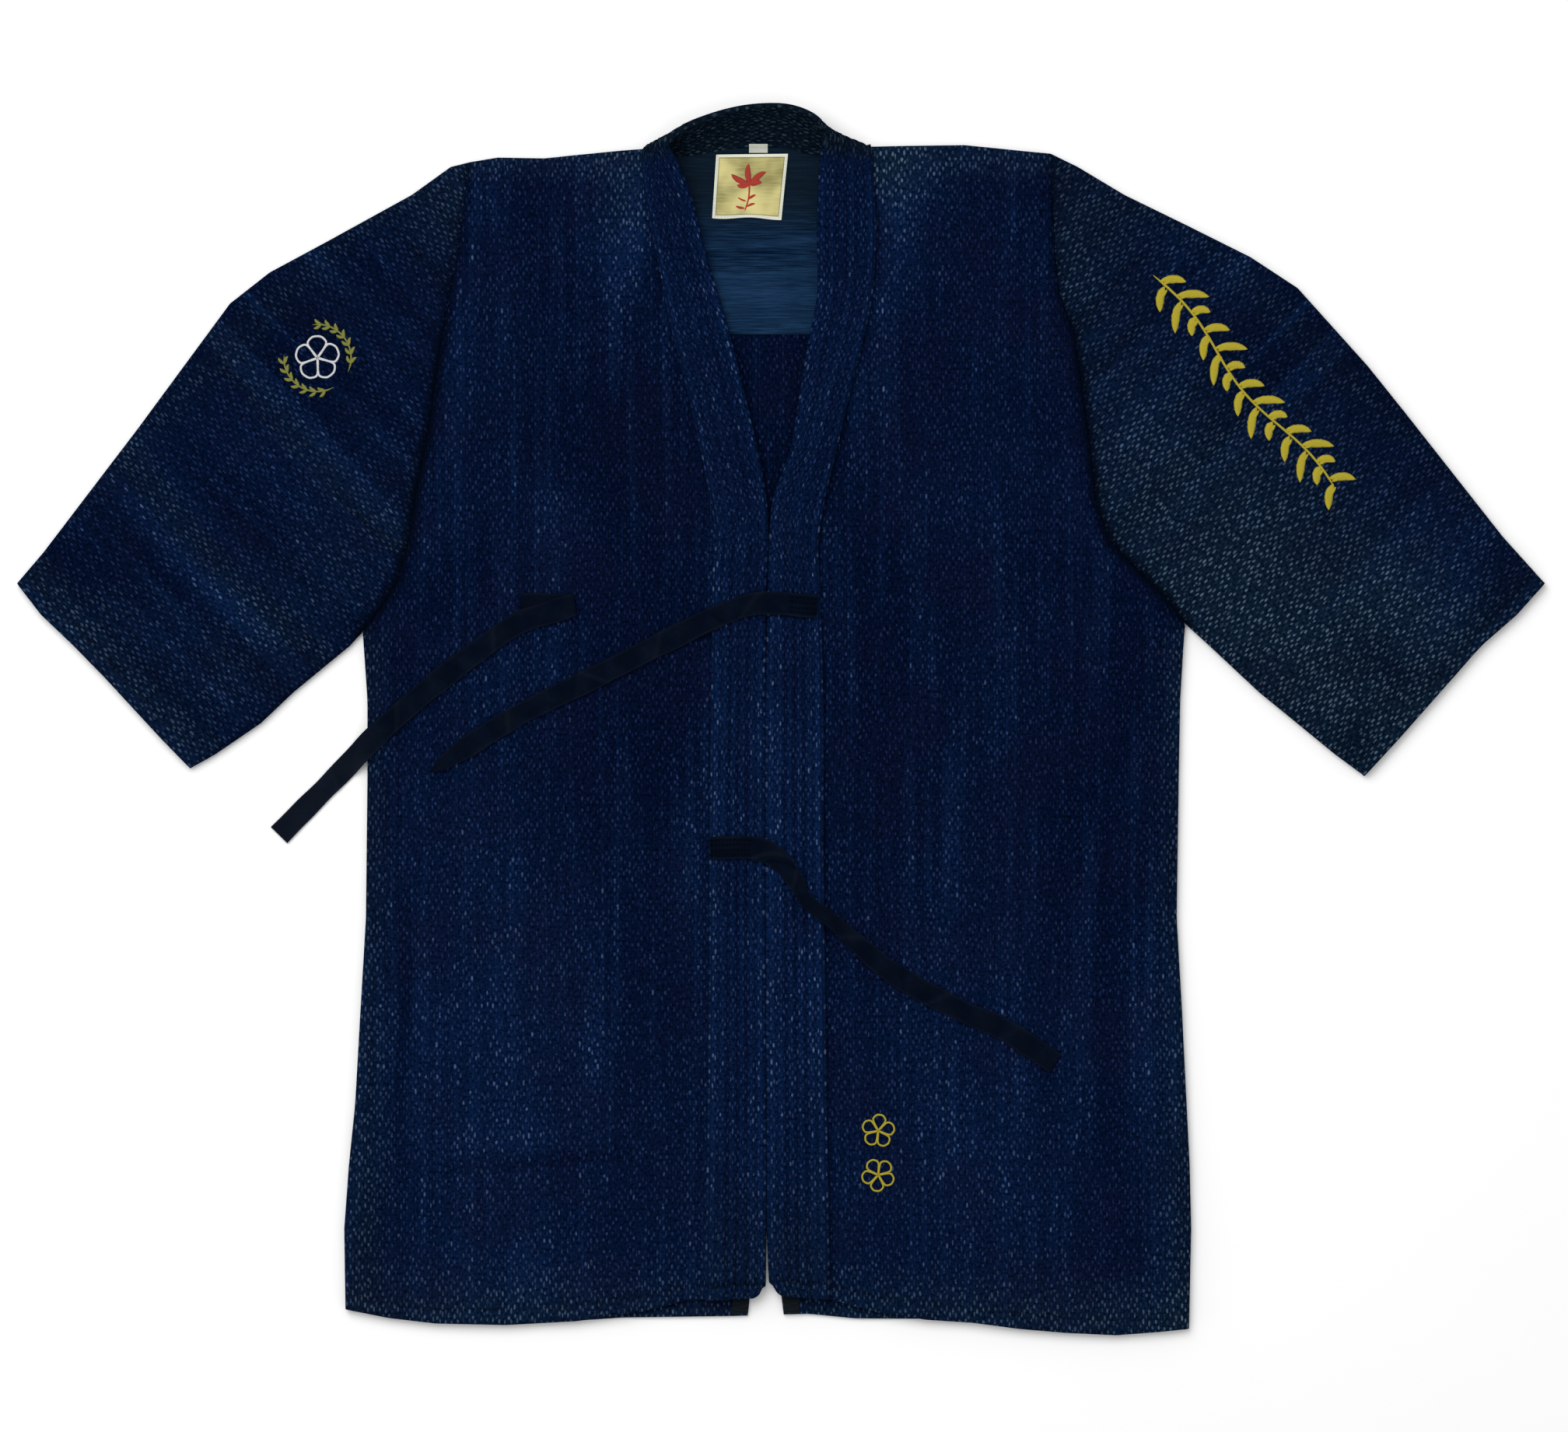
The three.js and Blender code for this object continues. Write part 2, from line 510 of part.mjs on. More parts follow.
// The collar band: at each station a section from the sewn edge to the free edge, rolled
// outwards where its edges come closer than its width, ribbed on the outer face.
function collar() {
  const spline = (edge) => new THREE.CatmullRomCurve3(
    bandRows.map((row) => new THREE.Vector3(row[`${edge}X`], row[`${edge}Y`], row[`${edge}Z`])), false, 'centripetal');
  const seam = spline('seam');
  const free = spline('free');
  const outerCols = ribCount * 2;
  const rings = [];
  for (let k = 0; k <= bandStations; k += 1) {
    const u = k / bandStations;
    const from = seam.getPoint(u);
    const to = free.getPoint(u);
    const ahead = seam.getPoint(Math.min(u + 0.004, 1)).add(free.getPoint(Math.min(u + 0.004, 1)));
    const behind = seam.getPoint(Math.max(u - 0.004, 0)).add(free.getPoint(Math.max(u - 0.004, 0)));
    const chord = to.clone().sub(from);
    const normal = chord.clone().cross(ahead.sub(behind)).normalize();
    const spare = Math.max(bandWidth - bandSlack - chord.length(), 0);
    const bulge = rollShare * Math.sqrt((spare * chord.length() * 3) / 8);
    const sink = Math.min(to.z - from.z, 0);
    const section = (v, offset) => {
      const point = from.clone().lerp(to, v);
      point.z += sink * (v * v - v);
      return point.addScaledVector(normal, bulge * 4 * v * (1 - v) + offset);
    };
    const ring = [];
    for (let i = 0; i <= outerCols; i += 1) {
      ring.push(section(i / outerCols, bandThickness / 2 + (i % 2 ? ribHeight : 0)));
    }
    for (let i = bandInnerCols; i >= 0; i -= 1) ring.push(section(i / bandInnerCols, -bandThickness / 2));
    rings.push(ring);
  }
  return ringSolid(rings, (i) => {
    const upper = i <= outerCols;
    return new THREE.Vector2(
      upper ? i / outerCols : (outerCols + 1 + bandInnerCols - i) / bandInnerCols,
      upper ? 1 + (i % 2) * 0.1 : 0);
  });
}

// Closed solid through rings of points, with flat ends. Its end faces follow the section drawn
// by sketch, which gives a plain place for each ring point.
function ringSolid(rings, sketch) {
  const count = rings[0].length;
  const index = [];
  for (let k = 0; k < rings.length - 1; k += 1) {
    for (let i = 0; i < count; i += 1) {
      const [a, b] = [k * count + i, k * count + ((i + 1) % count)];
      index.push(a, b, b + count, a, b + count, a + count);
    }
  }
  const outline = rings[0].map((_, i) => sketch(i));
  const end = (rings.length - 1) * count;
  for (const [a, b, c] of THREE.ShapeUtils.triangulateShape(outline, [])) {
    const clockwise = THREE.ShapeUtils.isClockWise([outline[a], outline[b], outline[c]]);
    const ringClockwise = THREE.ShapeUtils.isClockWise(outline);
    const [p, q, r] = clockwise === ringClockwise ? [a, b, c] : [a, c, b];
    index.push(p, r, q, end + p, end + q, end + r);
  }
  return solidFrom(rings.flat(), index);
}

// Flat strip on the back's inner face between two columns of plan points, by rows of height.
function layer(plan, base, thickness) {
  const lower = plan.map((row) => row.map(([x, y]) => new THREE.Vector3(x, y, base(x, y))));
  const upper = lower.map((row) => row.map((point) => point.clone().setZ(point.z + thickness)));
  return wallSolid(upper, lower);
}

const liningCols = 14;

// Plain lining of the upper back, from just below the shoulder fold and the back neck.
function lining() {
  const columns = Array.from({ length: liningCols + 1 }, (_, i) => (
    THREE.MathUtils.lerp(liningEdges.left, liningEdges.right, i / liningCols)));
  const topOf = (x) => {
    const overNeck = x > neckRightX && x < neckLeftX;
    return overNeck ? Math.min(valueAt(neckRows, 'x', 'y', x) - 1, 403) : valueAt(shoulderRows, 'x', 'y', x) - 6;
  };
  const plan = [0, 0.25, 0.5, 0.75, 1].map((t) => columns.map((x) => (
    [x, THREE.MathUtils.lerp(liningEdges.low, topOf(x), t)])));
  return layer(plan, () => wall + layGap, liningThickness);
}

function label() {
  const { left, right, low, high } = labelCorners;
  const middle = (low + high) / 2;
  const plan = [low, middle, high].map((y) => [left, (left + right) / 2, right].map((x) => [x, y]));
  return layer(plan, () => wall + liningThickness + 2 * layGap, labelThickness);
}

// Tab above the label, bent up over the foot of the band.
function sizeTab() {
  const rows = table(['y', 'z'], [405.7, 4.2], [407.6, 4.8], [409.4, 6.2], [411.8, 8.2]);
  const heightAt = (x, y) => valueAt(rows, 'y', 'z', y);
  const plan = rows.map((row) => [tabCorners.left, tabCorners.right].map((x) => [x, row.y]));
  return layer(plan, heightAt, tabThickness);
}

// Facing along one edge of the back vent, over the turned-up hem and the plain wall above it.
function ventFacing(side) {
  const inward = side === 'right' ? -1 : 1;
  const hemY = valueAt(backHemRows, 'x', 'y', valueAt(centreRows, 'y', side, -427));
  const heights = [hemY + 1.2, hemY + hemDepth + 2, hemY + hemDepth + 6, -360, -322];
  const plan = heights.map((y) => {
    const edge = valueAt(centreRows, 'y', side, y) + inward * 0.8;
    return [[edge, y], [edge + inward * ventTapeWidth, y]];
  });
  const overHem = (x, y) => (y < hemY + hemDepth + 3 ? wall + hemExtra + layGap : wall + layGap);
  return layer(plan, overHem, tapeThickness);
}

// Strap laid over the pieces below it. Its height is the highest cloth under each stretch,
// eased over the drop length, so that it bridges dips and slopes down past an edge.
function strap(line, below, step = 8) {
  const path = new THREE.CatmullRomCurve3(line.map((row) => new THREE.Vector3(row.x, row.y, 0)), false, 'centripetal');
  const length = path.getLength();
  const count = Math.round(length / step);
  const fine = Math.round(length / 2);
  const drop = new THREE.Raycaster();
  const down = new THREE.Vector3(0, 0, -1);
  const widthAt = () => tieWidth / 2;
  const sideOf = (u) => {
    const run = path.getTangentAt(u);
    return new THREE.Vector3(-run.y, run.x, 0).normalize();
  };
  const raw = Array.from({ length: fine + 1 }, (_, k) => {
    const u = k / fine;
    const centre = path.getPointAt(u);
    const square = sideOf(u);
    return Math.max(...[-1, -0.5, 0, 0.5, 1].map((share) => {
      const from = centre.clone().addScaledVector(square, share * widthAt(u)).setZ(200);
      drop.set(from, down);
      const hits = drop.intersectObjects(below, false);
      return hits.length ? hits[0].point.z + layGap + restSlack : 0;
    }));
  });
  const reach = Math.round(tieDropHalf / 2);
  const around = (values, k) => values.slice(Math.max(k - reach, 0), k + reach + 1);
  const highest = raw.map((_, k) => Math.max(...around(raw, k)));
  const eased = highest.map((_, k) => {
    const near = around(highest, k);
    return near.reduce((sum, value) => sum + value, 0) / near.length;
  });
  const rings = [];
  for (let k = 0; k <= count; k += 1) {
    const u = k / count;
    const centre = path.getPointAt(u);
    const square = sideOf(u).multiplyScalar(widthAt(u));
    const z = eased[Math.round(u * fine)];
    const corner = (share, height) => centre.clone().addScaledVector(square, share).setZ(height);
    rings.push([corner(-1, z), corner(1, z), corner(1, z + tieThickness), corner(-1, z + tieThickness)]);
  }
  const sketch = (i) => new THREE.Vector2([0, 1, 1, 0][i], [0, 0, 1, 1][i]);
  return ringSolid(rings, sketch);
}

const indigoCloth = new THREE.MeshStandardMaterial({ color: 0x081532, roughness: 0.95, metalness: 0 });
const bandCloth = new THREE.MeshStandardMaterial({ color: 0x091636, roughness: 0.95, metalness: 0 });
const liningCloth = new THREE.MeshStandardMaterial({ color: 0x122743, roughness: 0.9, metalness: 0 });
const labelSatin = new THREE.MeshStandardMaterial({ color: 0xa6b777, roughness: 0.45, metalness: 0 });
const tabCloth = new THREE.MeshStandardMaterial({ color: 0xe8e8e4, roughness: 0.8, metalness: 0 });
const facingTape = new THREE.MeshStandardMaterial({ color: 0x101923, roughness: 0.85, metalness: 0 });
const tieCloth = new THREE.MeshStandardMaterial({ color: 0x050c1d, roughness: 0.8, metalness: 0 });

const jacket = new THREE.Group();

function addPiece(name, geometry, material) {
  const piece = new THREE.Mesh(geometry, material.clone());
  piece.name = name;
  piece.material.side = THREE.DoubleSide;
  jacket.add(piece);
  return piece;
}

const laid = [];
for (const side of ['right', 'left']) {
  addPiece(`back_${side}`, bodyPanel(side, 'back'), indigoCloth);
  laid.push(addPiece(`front_${side}`, bodyPanel(side, 'front'), indigoCloth));
  laid.push(addPiece(`sleeve_${side}`, sleeve(side), indigoCloth));
  addPiece(`vent_facing_${side}`, ventFacing(side), facingTape);
}
laid.push(addPiece('collar', collar(), bandCloth));
addPiece('lining', lining(), liningCloth);
addPiece('label', label(), labelSatin);
addPiece('size_tab', sizeTab(), tabCloth);
laid.push(addPiece('tie_chest_end', strap(chestTieEnd, laid), tieCloth));
addPiece('tie_chest', strap(chestTieLine, laid), tieCloth);
addPiece('tie_collar_upper', strap(upperTieLine, laid), tieCloth);
addPiece('tie_collar_lower', strap(lowerTieLine, laid), tieCloth);

// The origin is the middle of the part's box, on the surface.
const reach = new THREE.Box3().setFromObject(jacket);
jacket.position.set(-(reach.min.x + reach.max.x) / 2, -(reach.min.y + reach.max.y) / 2, 0);

export default jacket;
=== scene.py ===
import bpy
import numpy as np
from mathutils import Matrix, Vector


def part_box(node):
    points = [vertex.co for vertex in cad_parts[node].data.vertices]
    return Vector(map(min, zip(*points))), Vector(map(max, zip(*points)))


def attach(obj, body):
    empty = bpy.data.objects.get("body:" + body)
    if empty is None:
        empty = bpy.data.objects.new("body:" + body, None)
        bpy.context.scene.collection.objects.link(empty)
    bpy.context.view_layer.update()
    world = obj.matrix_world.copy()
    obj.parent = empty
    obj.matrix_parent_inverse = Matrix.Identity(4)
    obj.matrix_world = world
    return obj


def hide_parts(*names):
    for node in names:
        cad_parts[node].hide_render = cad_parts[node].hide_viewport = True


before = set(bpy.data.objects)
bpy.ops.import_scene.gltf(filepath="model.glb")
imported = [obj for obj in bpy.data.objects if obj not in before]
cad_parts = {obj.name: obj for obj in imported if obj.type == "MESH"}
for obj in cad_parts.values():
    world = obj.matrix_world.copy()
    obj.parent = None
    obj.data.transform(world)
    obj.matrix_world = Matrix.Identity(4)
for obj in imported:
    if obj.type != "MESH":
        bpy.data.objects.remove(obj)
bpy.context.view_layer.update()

print("frame loaded,", len(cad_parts), "nodes")

# Plan millimetres, +Y to the collar, the wearer's right at -X. Pieces are worked out in these and
# become metres in the row frame when their mesh is made.
wall, laidHeight, foldRadius, seamHalf = 2.6, 8.0, 4.0, -0.05
hemDepth, hemThick, hemRadius, layGap = 11.0, 3.4, 1.7, 0.3
armholeFoot = (60, 84)
labelCorners = {"left": -46.3, "right": 5.2, "low": 358.4, "high": 403.8}
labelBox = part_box("label")
planShift = np.array([labelBox[0][0] * 1000 - labelCorners["left"],
                      labelBox[1][1] * 1000 - labelCorners["high"], 0.0])

# Sashiko weave: yarn columns, the length of one stitch with its gap, and the rise of a stitch.
# grainMean is the mean of its height.
weave = {"pitch": 2.13, "repeat": 7.8, "rise": 0.42}
grainMean = 0.12
coarse = 1
# Two pi, where cloth places are in metres and periods in millimetres.
fullTurn = 6283.2


def stacked(*parts):
    return np.stack(parts, -1)


def table(names, *rows):
    return dict(zip(names.split(), np.array(rows, float).T))


sideRows = table("y right left",
    (-436, -311.1, 291.7), (-363, -312.2, 293.3), (-318, -308.9, 292.2), (-274, -304.4, 290.0),
    (-207, -300.6, 286.7), (-141, -296.7, 282.9), (-41, -295.6, 284.4), (15, -295.6, 285.4),
    (54, -298.3, 287.8))
armholeRows = table("rightX rightY leftX leftY",
    (-298.9, 63.6, 288.9, 69.2), (-284.4, 82.5, 273.9, 89.2), (-273.9, 100.3, 252.8, 110.3),
    (-266.7, 126.4, 235.0, 128.1), (-260.6, 164.7, 225.6, 155.3), (-251.7, 208.6, 221.1, 194.2),
    (-246.1, 250.3, 215.0, 239.7), (-238.9, 291.4, 209.4, 275.8), (-231.1, 332.5, 198.9, 305.8),
    (-226.1, 370.8, 195.4, 340.0), (-222.2, 399.2, 192.8, 405.3))
sleeveTopRows = table("rightX rightY leftX leftY",
    (-222.2, 399.2, 192.8, 405.3), (-236.1, 395.8, 212.2, 395.8), (-263.9, 375.8, 245.6, 375.8),
    (-324.4, 342.5, 291.1, 353.6), (-365.6, 320.3, 335.6, 331.4), (-393.9, 298.1, 369.4, 309.2),
    (-426.7, 253.6, 419.4, 253.6), (-459.4, 209.2, 446.1, 220.3), (-527.2, 120.3, 516.1, 131.4),
    (-546.1, 98.1, 546.1, 98.1))
sleeveLowRows = table("rightX rightY leftX leftY",
    (-298.9, 63.6, 288.9, 69.2), (-307.8, 53.6, 306.1, 53.6), (-348.3, 20.3, 341.7, 20.3),
    (-371.7, -1.9, 368.9, -1.9), (-404.4, -24.2, 396.1, -24.2), (-422.2, -34.2, 417.2, -39.7))
cuffRows = table("rightX rightY leftX leftY",
    (-422.2, -34.2, 417.2, -39.7), (-442.8, -13.1, 441.7, -13.1), (-483.9, 31.4, 481.1, 31.4),
    (-505.6, 53.6, 500.6, 53.6), (-528.9, 75.8, 526.1, 75.8), (-546.1, 98.1, 546.1, 98.1))
shoulderRows = table("x y",
    (-222.2, 399.2), (-202.2, 402.5), (-168.9, 401.9), (-146.7, 404.2), (-113.3, 407.5),
    (-100, 408.5), (-91, 409.2), (53.3, 411.9), (64.4, 410.3), (86.7, 410.8), (131.1, 411.4),
    (153.3, 409.2), (175.6, 406.9), (192.8, 405.3))
neckRows = table("x y",
    (-100, 408.5), (-92, 406), (-80, 404.6), (-72, 402.8), (-55, 403), (-40, 405.6), (-18, 407.6),
    (5, 407), (20, 403.4), (32, 402.6), (44, 405), (54, 407), (66, 410.3))
backHemRows = table("x y",
    (-311.1, -420.8), (-280, -426.9), (-246.7, -430.8), (-196.7, -431.9), (-146.7, -429.2),
    (-113.3, -426.9), (-36.1, -425.8), (2.2, -424.7), (20, -424.2), (53.3, -427.5), (103.3, -427.8),
    (136.7, -430.3), (170, -434.7), (203.3, -437.5), (239.4, -439.2), (270, -436.9),
    (291.7, -434.7))
frontHemRows = table("x y",
    (-311.1, -420.8), (-280, -426.9), (-246.7, -430.8), (-196.7, -431.9), (-146.7, -429.2),
    (-119.4, -425.3), (-97.8, -421.9), (-69.4, -414.7), (-54.4, -413.6), (32.8, -413.1),
    (50, -418.1), (67.2, -422.5), (103.3, -428.1), (136.7, -430.3), (170, -434.7), (203.3, -437.5),
    (239.4, -439.2), (270, -436.9), (291.7, -434.7))
centreRows = table("y right left", (-427, -23.9, 2.2), (-318, -11.2, -10.8), (410, -18.2, -17.8))
bandRows = table("seamX seamY seamZ freeX freeY freeZ",
    (-54.4, -414.2, 10.9, -10.9, -412.4, 7.6), (-54.4, -400.3, 10.9, -10.7, -398.0, 7.5),
    (-52.2, -263.1, 10.9, -11.1, -263.1, 7.3), (-51.1, -81.4, 10.9, -11.9, -81.4, 7.3),
    (-50.0, 14.7, 10.9, -11.7, 14.7, 7.3), (-48.9, 103.6, 10.9, -10.3, 103.6, 7.3),
    (-47.2, 131.4, 10.9, -8.9, 137.0, 7.3), (-51.1, 159.2, 10.9, -10.0, 159.2, 7.5),
    (-58.9, 198.1, 10.9, -17.2, 196.9, 8.0), (-68.9, 242.5, 10.9, -27.8, 242.5, 8.5),
    (-78.9, 281.4, 10.9, -37.8, 281.4, 8.5), (-91.1, 342.5, 10.9, -56.1, 343.6, 9.5),
    (-96.7, 370.3, 10.9, -62.8, 371.9, 12.0), (-98.9, 389.7, 11.0, -70.0, 391.4, 17.0),
    (-99.4, 400.4, 11.2, -76.7, 404.2, 22.0), (-98.2, 405.6, 10.4, -80.2, 409.6, 25.0),
    (-93.8, 408.6, 7.6, -80.4, 412.6, 26.5), (-85.0, 407.9, 4.6, -76.7, 416.6, 27.0),
    (-73.0, 404.2, 3.3, -68.9, 422.5, 27.0), (-56.0, 404.6, 2.9, -55.0, 429.2, 25.0),
    (-38.0, 407.6, 2.7, -36.7, 435.3, 23.0), (-18.0, 409.4, 2.7, -18.3, 438.6, 22.0),
    (4.0, 408.8, 2.7, 3.9, 438.6, 22.0), (20.0, 404.6, 2.9, 19.5, 433.5, 24.0),
    (34.0, 404.2, 3.3, 27.5, 427.0, 26.0), (49.0, 408.0, 4.6, 30.8, 421.8, 26.0),
    (60.0, 409.2, 7.6, 30.8, 416.8, 24.0), (64.6, 406.4, 10.4, 29.3, 411.2, 22.0),
    (65.2, 400.0, 11.2, 28.0, 403.4, 18.0), (66.5, 385.0, 10.9, 26.6, 386.0, 14.0),
    (68.3, 348.0, 10.9, 25.6, 352.0, 10.5), (65.6, 303.6, 10.9, 25.8, 304.7, 8.5),
    (58.9, 270.3, 10.9, 18.9, 268.1, 8.5), (48.9, 230.8, 10.9, 12.2, 225.8, 8.2),
    (40.0, 192.5, 10.9, 6.1, 190.8, 8.0), (32.2, 159.2, 10.9, -5.6, 159.2, 7.5),
    (27.2, 128.6, 10.9, -7.8, 137.0, 7.3), (28.3, 92.5, 10.9, -8.9, 103.6, 7.3),
    (30.6, 14.7, 10.9, -10.6, 14.7, 7.3), (30.6, -81.4, 10.9, -10.8, -81.4, 7.3),
    (32.8, -263.1, 10.9, -10.0, -263.1, 7.3), (35.0, -401.9, 10.9, -8.8, -398.0, 7.5),
    (35.0, -413.6, 10.9, -7.2, -410.6, 7.6))

# Soft ridges and troughs of the laid cloth: the line they follow, half width and height. The first
# thirteen are the main ones, the rest the smaller creases between them.
creases = table("x0 y0 x1 y1 reach height",
    (-282, 88, -196, 186, 15, 1.3), (-276, 120, -214, 250, 18, 0.8), (262, 98, 172, 190, 15, 1.2),
    (236, 142, 196, 262, 18, 0.8), (-205, -360, -190, 40, 42, 0.9), (150, -350, 168, 60, 46, 1.0),
    (-120, -300, -112, -60, 24, -0.4), (232, -380, 222, -120, 26, -0.4),
    (-168, 306, -104, 282, 12, -0.5), (-330, 90, -470, 60, 30, 0.9),
    (-300, 200, -420, 200, 34, 0.8), (318, 96, 470, 84, 30, 0.9), (290, 210, 410, 190, 34, 0.8),
    (-262, 60, -150, 30, 9, 0.5), (-240, 150, -170, 200, 8, -0.45), (-110, 350, -92, 250, 7, 0.6),
    (-150, 372, -120, 300, 10, 0.4), (232, 70, 120, 44, 9, 0.5), (206, 150, 140, 196, 8, -0.4),
    (84, 384, 96, 290, 8, 0.5), (124, 378, 120, 316, 10, 0.35), (-250, -240, -238, -60, 12, 0.35),
    (-84, -210, -78, 30, 10, -0.35), (66, -180, 72, 60, 11, -0.35), (104, -330, 110, -170, 9, 0.3),
    (260, -250, 250, -40, 13, 0.35), (-296, 236, -250, 300, 8, 0.5),
    (-360, 250, -300, 150, 12, -0.4), (-440, 150, -372, 110, 10, 0.4), (236, 300, 286, 250, 9, 0.5),
    (330, 250, 306, 150, 12, -0.4), (440, 160, 372, 116, 10, 0.4),
    (-236, -324, -120, -310, 6, -0.7), (-236, -302, -150, -292, 10, 0.5),
    (-290, -395, -180, -400, 8, 0.3), (120, -398, 250, -404, 8, 0.3))


# Distance in plan from each point to a straight line between two points.
def awayFrom(x, y, x0, y0, x1, y1):
    run = np.array([x1 - x0, y1 - y0])
    share = np.clip(((x - x0) * run[0] + (y - y0) * run[1]) / (run @ run), 0, 1)
    return np.hypot(x - x0 - share * run[0], y - y0 - share * run[1])


# Height of the upper cloth above its even level: each crease adds height times exp(-(distance /
# reach)^2), a sum of long sines makes the level uneven, and the cloth dips to the armhole seam.
def relief(x, y):
    height = (0.16 * np.sin(x / 23 + y / 61) + 0.13 * np.sin(x / 37 - y / 44 + 1)
              + 0.1 * np.sin(y / 27 + x / 90))
    for x0, y0, x1, y1, reach, rise in zip(*creases.values()):
        height = height + rise * bell(awayFrom(x, y, x0, y0, x1, y1), reach)
    return height - 1.5 * bell(seamDistance(x, y), 9)


def seamDistance(x, y):
    near = np.full(np.shape(x), 1e9)
    for side in ("right", "left"):
        sx, sy = armholeRows[side + "X"], armholeRows[side + "Y"]
        for k in range(len(sx) - 1):
            near = np.minimum(near, awayFrom(x, y, sx[k], sy[k], sx[k + 1], sy[k + 1]))
    return near


# A round edge: 0 at the edge, rising as a quarter circle to 1 at the radius.
def rounded(distance, radius):
    return np.sqrt(1 - (1 - np.clip(distance / radius, 0, 1)) ** 2)


# Bell curve: exp(-(distance / width)^2).
def bell(distance, width):
    return np.exp(-(distance / width) ** 2)


# Smooth step from 0 to 1 between two values.
def ease(low, high, value):
    share = np.clip((value - low) / (high - low), 0, 1)
    return share * share * (3 - 2 * share)


# Stitch of the weave at cloth place u, v: a half sine across the yarn times a flat-topped step
# along it, alternate yarns half a repeat on.
def stitchRise(u, v):
    across = u / weave["pitch"]
    yarn = np.floor(across + 1e-6)
    along = (v / weave["repeat"] + 0.5 * (yarn % 2)) % 1
    top = ease(0.04, 0.32, along) * (1 - ease(0.68, 0.96, along))
    return weave["rise"] * np.sin(np.pi * np.clip(across - yarn, 0, 1)) * top * (coarse == 1)


# Rise of a stitch above the mean of the weave, so that the cloth keeps its level.
def grainRise(u, v):
    return stitchRise(u, v) - grainMean


# Cloth coordinates on the weave: two columns of points a yarn and three rows a stitch. Alternate
# yarns stand half a row on, as their stitches do. Gives u, v and the even v.
def latticeGrid(uLow, uHigh, vLow, vHigh):
    stepU, stepV = weave["pitch"] / 2 * coarse, weave["repeat"] / 3 * coarse
    k = np.arange(np.floor(uLow / stepU) - 1, np.ceil(uHigh / stepU) + 2)
    m = np.arange(np.floor(vLow / stepV) - 1, np.ceil(vHigh / stepV) + 2)
    zig = np.array([0.5, 0.0, 0.5, 1.0])[(k % 4).astype(int)] * stepV / 2
    u, v = np.meshgrid(k * stepU, m * stepV)
    return u, v + zig, v + stepV / 4


# Slow drift of the yarns across the cloth, a sum of three sines each way.
def drift(u, v):
    across = (0.45 * np.sin(v / 83 + u / 210) + 0.25 * np.sin(v / 31 + u / 57)
              + 0.12 * np.sin(v / 13 + 2))
    along = 0.5 * np.sin(u / 74 + 1) + 0.3 * np.sin(u / 29 + v / 140)
    return across, along


def gridQuads(rows, cols, joined=False):
    r, c = np.meshgrid(np.arange(rows - 1), np.arange(cols if joined else cols - 1), indexing="ij")
    a, b = r * cols + c, r * cols + (c + 1) % cols
    return np.stack([a, b, b + cols, a + cols], axis=-1).reshape(-1, 4)


# One mesh from several grids. Each grid is points (rows, cols, 3), cloth places (rows, cols, 2),
# wear with painted light and shade (rows, cols), and may be turned over or joined round. Points
# that meet are merged and faces that have shrunk to a line are left out.
def makePiece(name, grids, material, replaced=()):
    points, places, wear, ash, quads = [], [], [], [], []
    base = 0
    for grid in grids:
        p = np.asarray(grid["points"], float)
        rows, cols = p.shape[:2]
        q = gridQuads(rows, cols, grid.get("joined", False)) + base
        quads.append(q[:, ::-1] if grid.get("flip") else q)
        points.append(p.reshape(-1, 3))
        places.append(np.broadcast_to(grid["uv"], (rows, cols, 2)).reshape(-1, 2))
        wear.append(np.broadcast_to(grid.get("wear", 0.0), (rows, cols)).reshape(-1))
        ash.append(np.broadcast_to(grid.get("ash", 0.0), (rows, cols)).reshape(-1))
        base += rows * cols
    points, places, wear, ash, quads = (np.concatenate(x)
                                        for x in (points, places, wear, ash, quads))
    _, first, back = np.unique(np.round(points * 400).astype(np.int64), axis=0, return_index=True,
                               return_inverse=True)
    welded = back.reshape(-1)[quads]
    shut = welded == np.roll(welded, -1, axis=1)
    count = shut.sum(axis=1)
    whole = (count == 0) & (welded[:, 0] != welded[:, 2]) & (welded[:, 1] != welded[:, 3])
    three = count == 1
    faces = welded[whole].tolist() + welded[three][~shut[three]].reshape(-1, 3).tolist()
    corners = np.concatenate([quads[whole].ravel(), quads[three][~shut[three]].ravel()])
    mesh = bpy.data.meshes.new(name)
    mesh.from_pydata(((points[first] + planShift) * 0.001).tolist(), [], faces)
    layer = mesh.uv_layers.new(name="cloth")
    layer.data.foreach_set("uv", (places[corners] * 0.001).ravel())
    for key, values in (("wear", wear), ("ash", ash)):
        mesh.attributes.new(key, "FLOAT", "POINT").data.foreach_set("value", values[first])
    mesh.polygons.foreach_set("use_smooth", np.full(len(faces), True))
    mesh.materials.append(material)
    piece = bpy.data.objects.new(name, mesh)
    bpy.context.collection.objects.link(piece)
    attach(piece, "root")
    if replaced:
        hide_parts(*replaced)
    triangles = 2 * int(whole.sum()) + int(three.sum())
    print(f"{name}: {triangles} triangles")
    return piece


# Eight-bit sRGB as shown by a screen, to the linear colour that a shader takes.
def dye(red, green, blue, gain=1.0):
    value = np.array([red, green, blue]) / 255
    linear = np.where(value < 0.04045, value / 12.92, ((value + 0.055) / 1.055) ** 2.4)
    return (*(np.clip(linear * gain, 0, 1)), 1.0)


